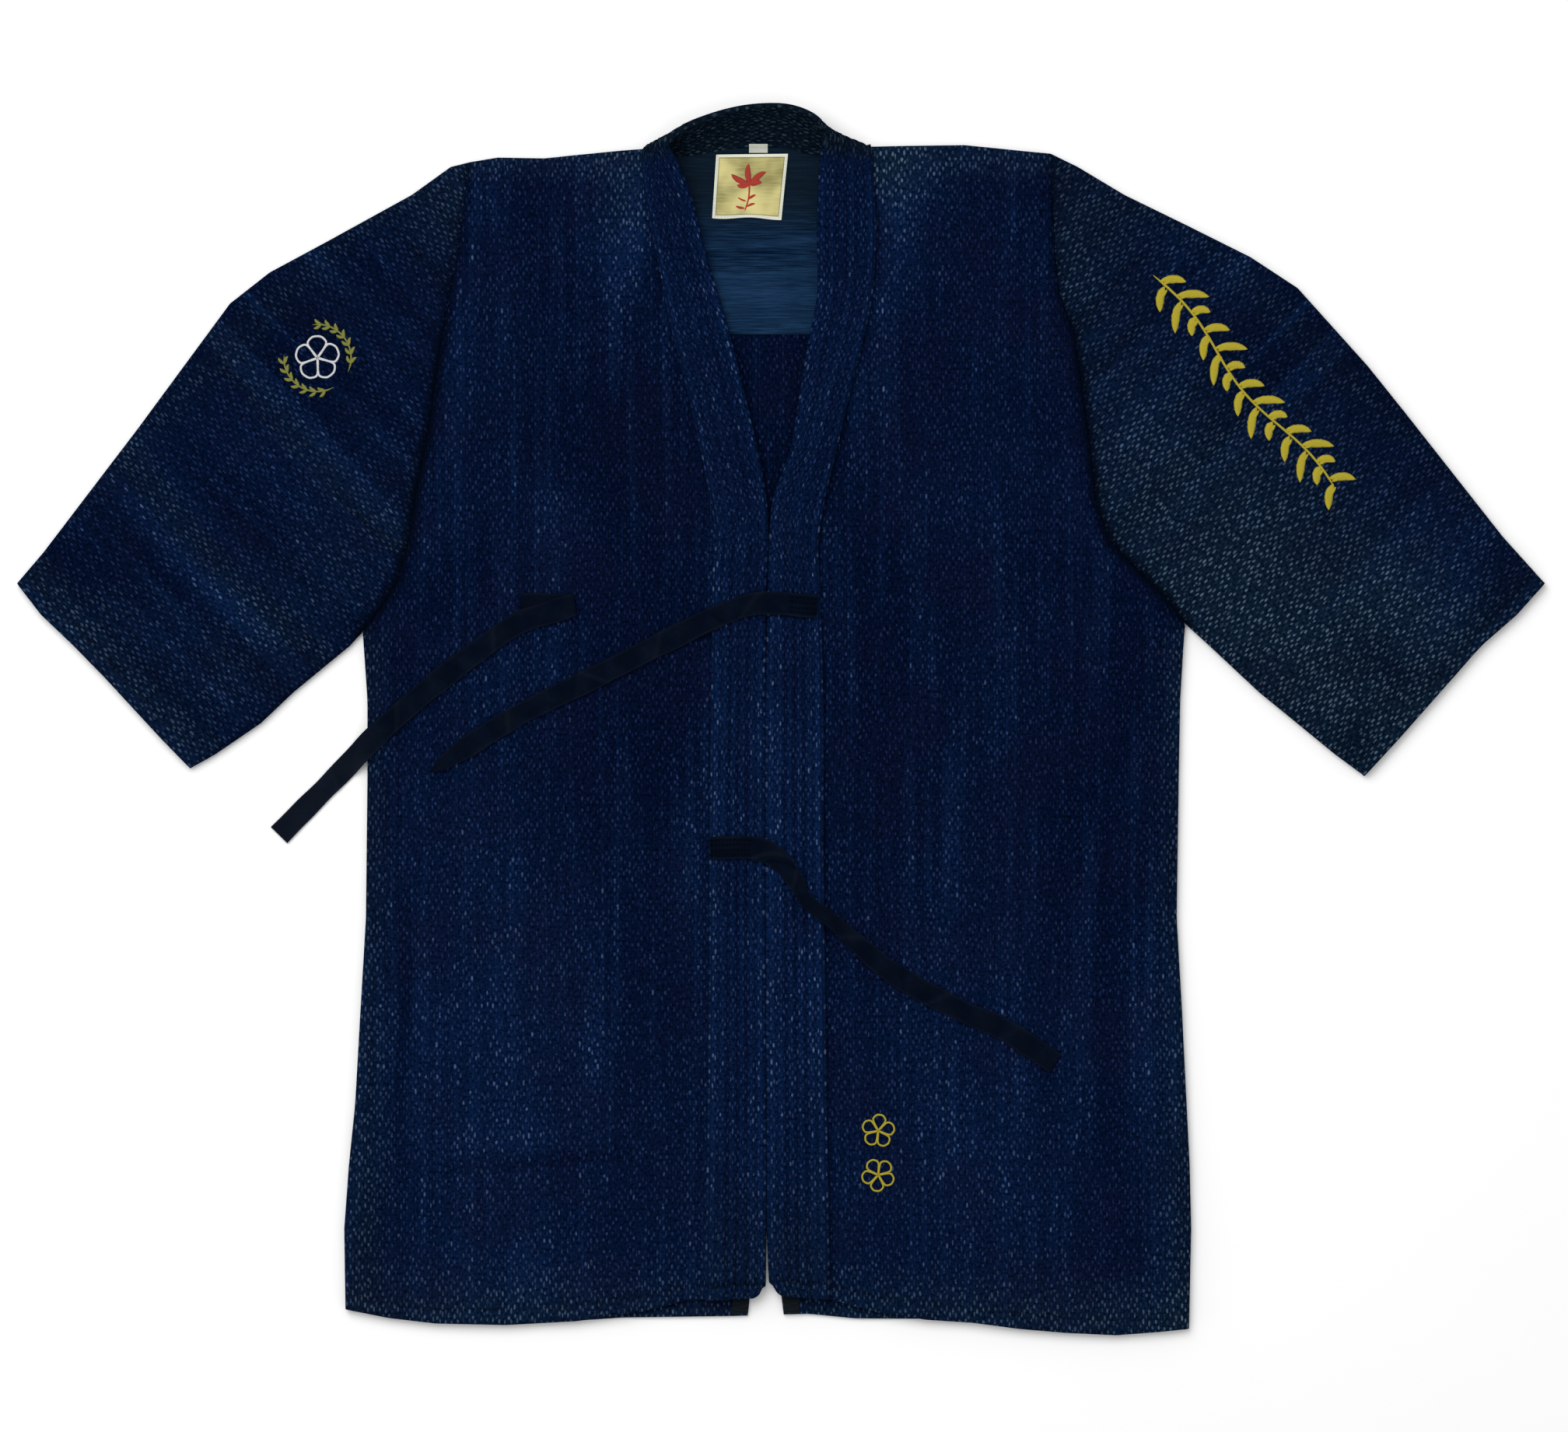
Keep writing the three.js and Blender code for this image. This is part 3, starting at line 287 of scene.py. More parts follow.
class Wire:
    # A socket in a material. The operators add Math nodes.
    def __init__(self, bench, socket):
        self.bench, self.socket = bench, socket

    def __add__(self, other):
        return self.bench.maths("ADD", self, other)

    def __sub__(self, other):
        return self.bench.maths("SUBTRACT", self, other)

    def __rsub__(self, other):
        return self.bench.maths("SUBTRACT", other, self)

    def __mul__(self, other):
        return self.bench.maths("MULTIPLY", self, other)

    def __truediv__(self, other):
        return self.bench.maths("DIVIDE", self, other)

    def __pow__(self, other):
        return self.bench.maths("POWER", self, other)

    __radd__, __rmul__ = __add__, __mul__


class DyeBench:
    # One material and the ways to add nodes to it.
    def __init__(self, name):
        self.material = bpy.data.materials.new(name)
        self.material.use_nodes = True
        self.tree = self.material.node_tree
        self.tree.nodes.clear()
        self.shader = self.node("BsdfPrincipled")
        self.node("OutputMaterial", values={"Surface": self.shader.outputs[0]})

    def node(self, kind, settings=None, values=None):
        made = self.tree.nodes.new("ShaderNode" + kind)
        for key, value in (settings or {}).items():
            setattr(made, key, value)
        for key, value in (values or {}).items():
            source = value.socket if isinstance(value, Wire) else value
            if isinstance(source, bpy.types.NodeSocket):
                self.tree.links.new(source, made.inputs[key])
            else:
                made.inputs[key].default_value = source
        return made

    def maths(self, operation, first, second=0.0):
        return Wire(self,
                    self.node("Math", {"operation": operation}, {0: first, 1: second}).outputs[0])

    def clamped(self, value):
        return self.maths("MINIMUM", self.maths("MAXIMUM", value, 0.0), 1.0)

    def ripple(self, phase):
        return self.maths("SINE", phase) * 0.5 + 0.5

    def soft(self, low, high, value):
        made = self.node("MapRange", {"interpolation_type": "SMOOTHSTEP"},
                         {"Value": value, "From Min": low, "From Max": high})
        return Wire(self, made.outputs[0])

    # Colours given as three numbers from 0 to 255 are turned into linear ones.
    def blend(self, first, second, share):
        first, second = (dye(*c) if isinstance(c, tuple) and len(c) == 3 else c
                         for c in (first, second))
        made = self.node("Mix", {"data_type": "RGBA"}, {0: share, 6: first, 7: second})
        return made.outputs[2]

    def vector(self, x, y, z=0.0):
        return self.node("CombineXYZ", values={0: x, 1: y, 2: z}).outputs[0]

    def noise(self, place, scale, detail=2.0, rough=0.5):
        made = self.node("TexNoise", {"noise_dimensions": "3D"},
                         {"Vector": place, "Scale": scale, "Detail": detail, "Roughness": rough})
        return Wire(self, made.outputs[0])

    def cloth(self):
        place = self.node("UVMap", {"uv_map": "cloth"}).outputs[0]
        parts = self.node("SeparateXYZ", values={0: place})
        return place, Wire(self, parts.outputs[0]), Wire(self, parts.outputs[1])

    def wornAndShaded(self, name="wear"):
        return Wire(self, self.node("Attribute", {"attribute_name": name}).outputs["Fac"])

    def finish(self, colour, rough, height, depth):
        bump = self.node("Bump", values={"Height": height, "Distance": depth, "Strength": 1.0})
        for key, source in (("Base Color", colour), ("Roughness", rough),
                            ("Normal", bump.outputs[0])):
            self.tree.links.new(source.socket if isinstance(source, Wire) else source,
                                self.shader.inputs[key])

    def fixed(self, **values):
        for key, value in values.items():
            self.shader.inputs[key.replace("_", " ")].default_value = value
        return self.material


# Indigo sashiko cotton. Each stitch of the weave is a small oval with its own shade, a little off
# its place; columns of stitches are paler where the dye has gone, wear lightens them, ash greys
# them, and the ground between them stays dark. The wear attribute also carries painted light and
# shade: above 0 it lightens crease ridges as painted highlight, and below 0 it darkens the cloth,
# partly unworn dye beside a seam and partly painted shade in seam grooves, stitched lines and
# crease troughs. The pale flecks are partly worn-pale yarn and partly painted glints on stitch
# tops.
def sashikoCotton(name, look):
    bench = DyeBench(name)
    place, u, v = bench.cloth()
    sway = (bench.noise(place, 40) - 0.5) * look["sway"]
    across = u * (1000 / weave["pitch"]) + sway
    along = v * (1000 / weave["repeat"]) - sway * 0.4
    yarn = bench.maths("FLOOR", across)
    shifted = along + bench.maths("FRACT", yarn * 0.5)
    row = bench.maths("FLOOR", shifted)
    chance = bench.node("TexWhiteNoise", {"noise_dimensions": "2D"},
                        {"Vector": bench.vector(yarn, row)})
    parts = bench.node("SeparateXYZ", values={0: chance.outputs["Color"]})
    shade, shiftA, shiftB = (Wire(bench, parts.outputs[k]) for k in range(3))
    offAcross = (across - yarn - 0.68 + shiftA * 0.36) / (shiftB * 0.2 + 0.3)
    offAlong = (shifted - row - 0.68 + shiftB * 0.36) / (shiftA * 0.12 + 0.17)
    oval = 1 - bench.soft(0.2, 1.3, offAcross * offAcross + offAlong * offAlong)
    stitch = oval * (bench.soft(0.05, 0.55, shade) * 0.8 + 0.2)
    fine = bench.noise(bench.vector(yarn * 0.37, row * 0.05), 1.0, 2.0, 0.6)
    wide = bench.noise(bench.vector(yarn * 0.1, row * 0.018 + 30.0), 1.0, 2.0, 0.6)
    streak = bench.soft(0.45, 0.68, fine * 0.55 + wide * 0.45)
    patch = bench.soft(0.35, 0.75, bench.noise(place, 11.0, 3.0, 0.55))
    fuzz = bench.noise(place, 1500.0, 2.0, 0.65)
    pit = bench.soft(0.44, 0.68, bench.noise(place, 460.0, 2.0, 0.65))
    mottle = bench.noise(bench.vector(u * 760, v * 420), 1.0, 3.0, 0.7)
    wornAndShaded = bench.wornAndShaded("wear")
    ash = bench.wornAndShaded("ash")
    fadedAndLit = wornAndShaded + patch * look["patchy"] + streak * look["streaky"]
    fadedAndLit = bench.clamped(fadedAndLit)
    tone = ((shade ** 2.6) * (fadedAndLit * 0.55 + 0.22) + fadedAndLit * 0.42 + 0.02
            + (mottle - 0.5) * (fadedAndLit * 0.9 + 0.45))
    tone = bench.clamped(tone)
    yarnShade = bench.blend(look["yarn"], look["pale"], tone)
    deep = bench.blend(look["gap"], look["wornGap"],
                       fadedAndLit * 0.85 + bench.soft(0.42, 0.7, mottle) * 0.4)
    colour = bench.blend(deep, yarnShade, stitch)
    # Pale flecks on some stitches: worn-pale yarn, and painted glints on stitch tops.
    bright = (bench.soft(1.0 - fadedAndLit * fadedAndLit * 0.5, 1.1, shade + (mottle - 0.5) * 0.3) * stitch
              * (1 - ash * 0.85))
    colour = bench.blend(colour, look["fleckAndGlint"], bright)
    colour = bench.blend(colour, look["ashGap"], ash * 0.85)
    colour = bench.blend(colour, look["ash"],
                         ash * stitch * (shade * 0.6 + (mottle - 0.5) * 0.8 + 0.35))
    tint = bench.soft(0.42, 0.66, bench.noise(place, 16.0, 2.0, 0.5))
    colour = bench.blend(colour, look["mauve"], tint * look["mauveShare"])
    colour = bench.blend(colour, look["pit"], pit * 0.8)
    # Below 0 the cloth darkens: unworn dye beside seams, and painted shade in seam grooves,
    # stitched lines and crease troughs.
    colour = bench.blend(colour, look["unwornAndShaded"], bench.soft(0.0, -0.9, wornAndShaded) * 0.85)
    height = stitch * (shade * 0.5 + 0.75) + fuzz * 0.3 + mottle * 0.7
    bench.finish(colour, 0.97 - stitch * 0.1, height, look["depth"])
    return bench.fixed(Specular_IOR_Level=look["gloss"], Sheen_Weight=look["sheen"],
                       Sheen_Roughness=0.6, Sheen_Tint=dye(60, 90, 160))


# The deep colour for wear below 0 is unworn dye and painted shade; the fleck colour is worn-pale
# yarn and painted glints on stitch tops.
bodyLook = {"yarn": (12, 23, 57), "pale": (45, 64, 107), "gap": (2, 9, 30), "wornGap": (7, 28, 62),
            "pit": (0, 3, 14), "fleckAndGlint": (74, 92, 125), "mauve": (13, 14, 38), "mauveShare": 0.3,
            "patchy": 0.08, "streaky": 0.6, "ash": (84, 107, 126), "ashGap": (12, 28, 42),
            "unwornAndShaded": (2, 6, 16), "sway": 0.7, "depth": 0.0003, "gloss": 0.006, "sheen": 0.004}
bandLook = dict(bodyLook, mauveShare=0.15, streaky=0.35, ash=(46, 64, 71), ashGap=(9, 19, 22))
sleeveLook = dict(bodyLook, mauve=(9, 13, 32))
bodyCotton = sashikoCotton("bodyCotton", bodyLook)
bandCotton = sashikoCotton("bandCotton", bandLook)
sleeveCotton = sashikoCotton("sleeveCotton", sleeveLook)


# Plain-weave cotton: thin threads both ways, slubs along the weft, paler where wear is high, which
# on the lining is painted light on the crests of its creases; the ash attribute darkens it to a
# painted shade colour, on the lining the collar's painted shadow.
def plainCotton(name, look):
    bench = DyeBench(name)
    place, u, v = bench.cloth()
    warp = bench.ripple(u * (fullTurn / look["thread"]))
    weft = bench.ripple(v * (fullTurn / look["thread"]))
    slub = bench.noise(bench.vector(u * 40, v * 900), 1.0, 3.0, 0.6)
    fuzz = bench.noise(place, 1500.0, 2.0, 0.6)
    shade = (warp * weft * 0.25 + bench.soft(0.36, 0.72, slub) * 0.5 + bench.wornAndShaded() * 0.45
             + (fuzz - 0.5) * 0.5)
    shade = bench.clamped(shade)
    colour = bench.blend(look["deep"], look["pale"], shade)
    # Painted shadow of the collar, where the ash attribute is high.
    colour = bench.blend(colour, look["paintedShade"], bench.wornAndShaded("ash") * 0.75)
    bench.finish(colour, 0.96 - shade * 0.1, warp * weft + slub * 0.8 + fuzz * 0.4, look["depth"])
    return bench.fixed(Specular_IOR_Level=look["gloss"], Sheen_Weight=look["sheen"],
                       Sheen_Roughness=0.5)


liningCotton = plainCotton("liningCotton", {
    "deep": (1, 15, 36), "pale": (32, 62, 95), "paintedShade": (12, 22, 29),
    "thread": 0.7, "depth": 0.00015, "gloss": 0.02, "sheen": 0.01})
facingCotton = plainCotton("facingCotton", {
    "deep": (6, 12, 17), "pale": (22, 31, 38), "paintedShade": (5, 9, 12),
    "thread": 0.9, "depth": 0.0002, "gloss": 0.1, "sheen": 0.03})
tabCotton = plainCotton("tabCotton", {
    "deep": (176, 178, 168), "pale": (224, 224, 210), "paintedShade": (120, 124, 110),
    "thread": 0.5, "depth": 0.0001, "gloss": 0.3, "sheen": 0.1})


# Dark twill tape: fine diagonal ribs, a firmer selvedge at both sides, lint and slow fading. Wear
# above 0 greys it, with dust towards a free end and as painted highlight on fold crests; below 0 it
# darkens, painted shade in pressed sewn lines and fold troughs.
def twillTape(name, look):
    bench = DyeBench(name)
    place, u, v = bench.cloth()
    rib = bench.ripple((u + v) * (fullTurn / look["rib"]))
    edge = bench.soft(0.0062, 0.0078, bench.maths("ABSOLUTE", u))
    fuzz = bench.noise(place, 1300.0, 2.0, 0.6)
    slow = bench.soft(0.4, 0.75, bench.noise(place, 60.0, 3.0, 0.6))
    shade = bench.maths("MINIMUM", rib * 0.3 + slow * 0.4 + fuzz * 0.25 + edge * 0.2, 1.0)
    colour = bench.blend(look["deep"], look["pale"], shade)
    # Dust, and painted highlight on fold crests.
    colour = bench.blend(colour, look["dustAndHighlight"],
                         bench.maths("MAXIMUM", bench.wornAndShaded(), 0.0) * (rib * 0.3 + fuzz * 0.6))
    # Painted shade in pressed sewn lines and fold troughs.
    colour = bench.blend(colour, dye(*look["deep"], 0.4),
                         bench.maths("MAXIMUM", bench.wornAndShaded() * -1.5, 0.0))
    bench.finish(colour, 0.9 - rib * 0.08, rib + fuzz * 0.6 + edge * 0.8, look["depth"])
    return bench.fixed(Specular_IOR_Level=look["gloss"], Sheen_Weight=look["sheen"],
                       Sheen_Roughness=0.5)


tieTwill = twillTape("tieTwill",
                     {"deep": (1, 5, 15), "pale": (7, 16, 33), "dustAndHighlight": (34, 39, 46), "rib": 1.3,
                      "depth": 0.00015,
                                  "gloss": 0.012, "sheen": 0.01})


# Satin of the label: fine weft floats with a woven white edge, worn lines across it, and lighter
# patches of painted sheen on the satin.
def labelSatinFinish(name, look):
    bench = DyeBench(name)
    place, u, v = bench.cloth()
    halfU = (labelCorners["right"] - labelCorners["left"]) / 2000
    halfV = (labelCorners["high"] - labelCorners["low"]) / 2000
    inset = bench.maths("MINIMUM", halfU - bench.maths("ABSOLUTE", u),
                        halfV - bench.maths("ABSOLUTE", v))
    edge = bench.soft(0.0024, 0.0019, inset)
    floats = bench.ripple(v * (fullTurn / look["float"]))
    slub = bench.soft(0.3, 0.75, bench.noise(bench.vector(u * 60, v * 700), 1.0, 3.0, 0.6))
    slow = bench.noise(place, 50.0, 2.0, 0.5)
    colour = bench.blend(look["deep"], look["pale"],
                         bench.maths("MINIMUM", slub * 0.6 + slow * 0.5, 1.0))
    # Painted sheen: lighter patches over the satin.
    colour = bench.blend(colour, look["paintedSheen"],
                         bench.soft(0.35, 0.7, bench.noise(place, 34.0, 2.0, 0.5)) * 0.8)
    colour = bench.blend(colour, look["edge"], edge)
    beside = bench.soft(0.0019, 0.0023, inset) * bench.soft(0.0031, 0.0026, inset)
    colour = bench.blend(colour, look["shadow"], beside * 0.55)
    bench.finish(colour, 0.42 + edge * 0.3 + slub * 0.1, floats + slub * 0.6, look["depth"])
    return bench.fixed(Specular_IOR_Level=0.35, Sheen_Weight=0.1, Anisotropic=0.5)


labelWeave = labelSatinFinish("labelWeave", {
    "deep": (112, 104, 52), "pale": (166, 160, 96), "paintedSheen": (216, 204, 138),
    "edge": (214, 216, 198), "shadow": (70, 74, 50), "float": 0.6, "depth": 0.0001})


# Thread in lines that run along the stitch, with a soft gloss.
def threadFinish(name, deep, pale, gloss=0.3, sheen=0.1):
    bench = DyeBench(name)
    place, u, v = bench.cloth()
    strand = bench.ripple(u * (fullTurn / 0.55) + (bench.noise(place, 300.0) - 0.5) * 2.0)
    fuzz = bench.noise(place, 1100.0, 2.0, 0.6)
    colour = bench.blend(deep, pale, bench.maths("MINIMUM", strand * 0.65 + fuzz * 0.4, 1.0))
    bench.finish(colour, 0.62 - strand * 0.15, strand + fuzz * 0.3, 0.0002)
    return bench.fixed(Specular_IOR_Level=gloss, Sheen_Weight=sheen)


goldThread = threadFinish("goldThread", (128, 112, 6), (206, 190, 40))
whiteThread = threadFinish("whiteThread", (168, 172, 176), (240, 240, 240))
oliveThread = threadFinish("oliveThread", (78, 84, 26), (150, 152, 62))
redThread = threadFinish("redThread", (132, 24, 16), (196, 62, 44))
navyThread = threadFinish("navyThread", (2, 7, 20), (12, 22, 42), 0.02, 0.01)
print("materials made")


def interp(at, keys, values):
    order = np.argsort(keys, kind="stable")
    return np.interp(at, keys[order], values[order])


def rowY(rows, x):
    return interp(x, rows["x"], rows["y"])


# Outer edge of a body panel at height y: the side seam, then the armhole seam.
def outerX(side, y):
    out = -1 if side == "right" else 1
    keys = np.concatenate([sideRows["y"], armholeRows[side + "Y"]])
    values = np.concatenate([sideRows[side], armholeRows[side + "X"] - out * seamHalf])
    return interp(y, keys, values)


def frontInner(side, y):
    rows = slice(0, 15) if side == "right" else slice(28, None)
    tuck = 8 * np.clip((388 - y) / 30, 0.15, 1)
    return (interp(y, bandRows["seamY"][rows], bandRows["seamX"][rows])
            + (tuck if side == "right" else -tuck))


# Where the laid garment is paler (amount above 0) or darker, as ovals in the plan. Most are faded
# or unfaded patches; the pair at y -316 and -298 on the wearer's right front is painted shade in a
# crease and painted light on the ridge above it.
fadeAndShadingZones = table("x y reachX reachY turn amount",
    (-104, 362, 14, 66, -12, 0.9), (-108, 392, 26, 16, 0, 0.45), (76, 390, 26, 24, 0, 0.8),
    (84, 350, 20, 50, 0, 0.5), (-158, 143, 26, 34, 0, 0.3), (118, 154, 44, 34, 0, 0.2),
    (-107, 199, 52, 50, 0, -0.22), (-90, 40, 46, 80, 0, -0.2), (60, 20, 30, 90, 0, -0.12),
    (-190, -250, 70, 130, 0, 0.2), (-269, -200, 9, 110, 0, -0.2), (-180, -316, 60, 4, 5, -0.25),
    (-185, -298, 55, 9, 5, 0.15), (-250, -150, 24, 120, 0, 0.16), (-298, -372, 14, 30, 0, -0.2),
    (-180, -395, 90, 22, 0, 0.18), (114, -310, 50, 70, 0, 0.22), (268, -230, 20, 70, 0, 0.22),
    (282, -20, 12, 60, 0, 0.18), (210, -60, 50, 120, 0, -0.14), (-210, 280, 30, 70, 0, 0.1),
    (150, 270, 34, 90, 0, 0.14), (-232, 372, 26, 26, -30, 0.25), (-350, 150, 120, 9, -46, 0.18),
    (-400, 90, 100, 8, -46, 0.22), (-330, 60, 60, 10, -46, -0.12), (-330, 270, 60, 26, -38, -0.16),
    (-420, 130, 20, 90, 43, 0.22), (-470, 60, 10, 80, 43, -0.2), (-400, 30, 14, 70, 43, 0.16),
    (-300, 190, 60, 40, 0, 0.1), (265, 199, 50, 36, 40, 0.3), (456, 100, 40, 60, -43, 0.62),
    (450, 236, 26, 80, 50, -0.3), (340, 236, 40, 24, 38, -0.16), (330, 130, 60, 40, -40, 0.14),
    (446, 84, 12, 40, 47, 0.3), (430, 46, 16, 34, 47, -0.45), (414, -20, 20, 24, 0, -0.35),
    (508, 78, 14, 40, -43, -0.35), (350, 60, 40, 16, -40, 0.15), (300, 330, 60, 20, -32, 0.14))


def fadeAndShadingAt(x, y):
    total = np.zeros(np.shape(x))
    for x0, y0, reachX, reachY, turn, amount in zip(*fadeAndShadingZones.values()):
        c, s = np.cos(np.radians(turn)), np.sin(np.radians(turn))
        a, b = (x - x0) * c + (y - y0) * s, (y - y0) * c - (x - x0) * s
        total = total + amount * np.exp(-(a / reachX) ** 2 - (b / reachY) ** 2)
    return total


# Wear of the body: paler over the shoulders by the neck, along the hem, by the band and the sides,
# and dark beside the armhole seams, partly unworn dye and partly painted shade of the seam groove.
# A painted shade line runs along the hem stitching, and the relief paints light on crease ridges
# and shade in their troughs.
def bodyWearAndShading(x, y):
    shoulder = 0.34 * ease(380, 402, y)
    hem = 0.3 * bell(y + 428, 20)
    low = 0.18 * ease(60, -340, y)
    middle = 0.1 * bell(np.abs(x + 10) - 52, 12)
    # Painted shade in the armhole seam groove, partly unworn dye.
    seam = ease(40, 80, y) * (0.45 + 0.45 * ease(330, 220, y)) * bell(seamDistance(x, y), 4.5)
    # Painted shade along the groove of the hem stitching.
    line = 0.5 * bell(y - rowY(frontHemRows, x) - hemDepth, 1.4)
    # The relief term is painted light on crease ridges and painted shade in their troughs.
    wornAndShaded = (fadeAndShadingAt(x, y) + shoulder + hem + low + middle
            + 0.13 * relief(x, y) * ease(0, 12, seamDistance(x, y)))
    return np.clip(wornAndShaded - seam - line, -1, 1)


def bodyAsh(x, y):
    hem = 0.5 * bell(y + 430, 26)
    sides = 0.35 * bell(np.abs(x + 6) - 294, 16) * ease(80, 40, y)
    neck = 0.65 * np.exp(-(((x - 76) / 26) ** 2 + ((y - 392) / 24) ** 2))
    shoulder = (0.35 * ease(380, 404, y)
                + 0.35 * np.exp(-(((x + 110) / 22) ** 2 + ((y - 386) / 34) ** 2)))
    return np.clip(hem + sides + neck + shoulder, 0, 1)


seamLines = []


# A front, wearer's right or left: height is the laid level with relief, falling round at the side
# and shoulder folds to half the laid height, and round the hem, whose turned-up part lies inside.
def frontPanel(side):
    out = -1 if side == "right" else 1
    hemOf = lambda x: rowY(frontHemRows, x)
    topOf = lambda x: rowY(shoulderRows, x)

    def place(u, v):
        y = np.clip(v + drift(u, v)[1], hemOf(u), topOf(u))
        x = u + drift(u, y)[0]
        low, high = outerX(side, y), frontInner(side, y)
        if out > 0:
            low, high = high, low
        return np.clip(x, low, high), y, (x < low) | (x > high)

    def surface(x, y, grain):
        sideways = np.abs(outerX(side, y) - x)
        curl = 1 - ease(*armholeFoot, y)
        fold = 1 - curl * (1 - rounded(sideways, foldRadius))
        fold = fold * rounded(topOf(x) - y, foldRadius)
        level = laidHeight + relief(x, y) + grain * rounded(y - hemOf(x), 3)
        groove = (1 - curl) * 1.2 * (1 - rounded(sideways * 0.9, 2.2))
        line = 0.55 * bell(y - hemOf(x) - hemDepth, 0.9)
        z = foldRadius + (level - groove - line - foldRadius) * fold
        return np.maximum(z - hemRadius * (1 - rounded(y - hemOf(x), hemRadius)), foldRadius + 0.1)

    span = (-314, -36) if side == "right" else (17, 296)
    u, v, even = latticeGrid(*span, -442, 414)
    outside = place(u, even)[2]
    v = np.where(outside, even, v)
    x, y, _ = place(u, v)
    grain = grainRise(u, v)
    main = {"points": stacked(x, y, surface(x, y, grain)), "uv": stacked(u, v),
            "wear": bodyWearAndShading(x, y), "ash": bodyAsh(x, y)}
    edgeU = u[:1]
    turned = []
    for inward, fall in ((0.0, hemRadius), (0.5, 2.9), (hemRadius, hemThick), (hemDepth, hemThick)):
        ex, ey, _ = place(edgeU, np.full_like(edgeU, -460.0))
        z = surface(ex, ey, np.full_like(ex, -grainMean)) - (fall - hemRadius)
        turned.append(stacked(ex, ey + inward, np.maximum(z, 4.1))[0])
    turned = np.array(turned)
    under = {"points": turned, "uv": stacked(turned[..., 0], -turned[..., 1] - 870), "flip": True,
             "wear": 0.3}
    inner, outer = (frontInner(side, -400.0), outerX(side, -420.0) - out * 6)
    sx = np.linspace(inner, outer, 120)
    sy = hemOf(sx) + hemDepth
    seamLines.append(stacked(sx, sy, surface(sx, sy, np.full_like(sx, -grainMean)) + 0.1))
    piece = makePiece(f"front_cloth_{side}", [main, under], bodyCotton,
                      [f"front_{side}"])


# A back half lies flat on its outer face. Both faces are worked out on one grid and meet at the
# edges, round at the side and the shoulder, with the hem turned up inside.
def backPanel(side):
    out = -1 if side == "right" else 1
    hemOf = lambda x: rowY(backHemRows, x)

    def topOf(x):
        neck = (x > -100) & (x < 66)
        return np.where(neck, rowY(neckRows, x), rowY(shoulderRows, x))

    stepU, stepV = 2 * weave["pitch"] * coarse, weave["repeat"] * coarse
    near = np.array([0.0, 0.25, 0.8, 1.7, 2.6, 3.0, 3.6, 4.4])
    spanX, spanY = 296, 840
    yRows = np.arange(0, 1, stepV / spanY)
    innerX = (lambda y: interp(y, centreRows["y"], centreRows[side])
              - out * 0.35 * ease(-324, -316, y))
    s = np.concatenate([near / spanX, np.arange(2 * stepU, spanX - 5, stepU) / spanX,
                        1 - near[::-1] / spanX])
    t = np.concatenate([near / spanY, yRows[2:-1], 1 - near[::-1] / spanY])
    s, t = np.meshgrid(s, t)
    yFirst = -425 + t * 830
    x = innerX(yFirst) + (outerX(side, yFirst) - innerX(yFirst)) * s
    for _ in range(3):
        y = hemOf(x) + (topOf(x) - hemOf(x)) * t
        x = innerX(y) + (outerX(side, y) - innerX(y)) * s
    y = hemOf(x) + (topOf(x) - hemOf(x)) * t
    sideways, fromHem = np.abs(outerX(side, y) - x), y - hemOf(x)
    fromTop, fromMiddle = topOf(x) - y, np.abs(x - innerX(y))
    curl = 1 - ease(*armholeFoot, y)
    atNeck = (x > -99) & (x < 65)
    top = np.where(atNeck, 1.0, rounded(fromTop, foldRadius))
    fold = (1 - curl * (1 - rounded(sideways, foldRadius))) * top
    outer = foldRadius * (1 - fold)
    innerFold = (1 - curl * (1 - rounded(sideways - wall, foldRadius - wall))) * np.where(
        atNeck, 1.0, rounded(fromTop - wall, foldRadius - wall))
    hem = ease(hemDepth + 2, hemDepth, fromHem)
    thick = wall + (hemThick - wall) * hem
    inner = foldRadius - (foldRadius - thick) * innerFold
    half = (inner - outer) / 2
    edge = rounded(fromHem, hemRadius) * rounded(fromMiddle, wall / 2)
    edge = (edge * np.where(atNeck, rounded(fromTop, wall / 2), 1.0)
            * (1 - (1 - curl) * (1 - rounded(sideways, wall / 2))))
    middle = (inner + outer) / 2
    uneven = (0.12 * np.sin(x / 19 + y / 43) * innerFold * rounded(fromHem, 20)
              * rounded(fromMiddle, 20))
    wear = bodyWearAndShading(x, y)
    lower = {"points": stacked(x, y, np.maximum(middle - half * edge, 0)), "uv": stacked(x, y),
             "wear": wear, "ash": bodyAsh(x, y), "flip": out > 0}
    upper = {"points": stacked(x, y, middle + half * edge + uneven * edge),
             "uv": stacked(x + 600, y), "flip": out < 0,
             "wear": wear * 0.1 - 0.15 + 0.6 * ease(14, 2, fromHem),
             "ash": 0.6 * ease(14, 2, fromHem)}
    piece = makePiece(f"back_cloth_{side}", [lower, upper], bodyCotton,
                      [f"back_{side}"])


# A floor just below the garment, then both body panels.
floorMesh = bpy.data.meshes.new("floor")
floorMesh.from_pydata([(-9, -9, -0.0004), (9, -9, -0.0004), (9, 9, -0.0004), (-9, 9, -0.0004)], [],
                      [(0, 1, 2, 3)])
floor = bpy.data.objects.new("floor", floorMesh)
bpy.context.collection.objects.link(floor)
for side in ("right", "left"):
    backPanel(side)
    frontPanel(side)


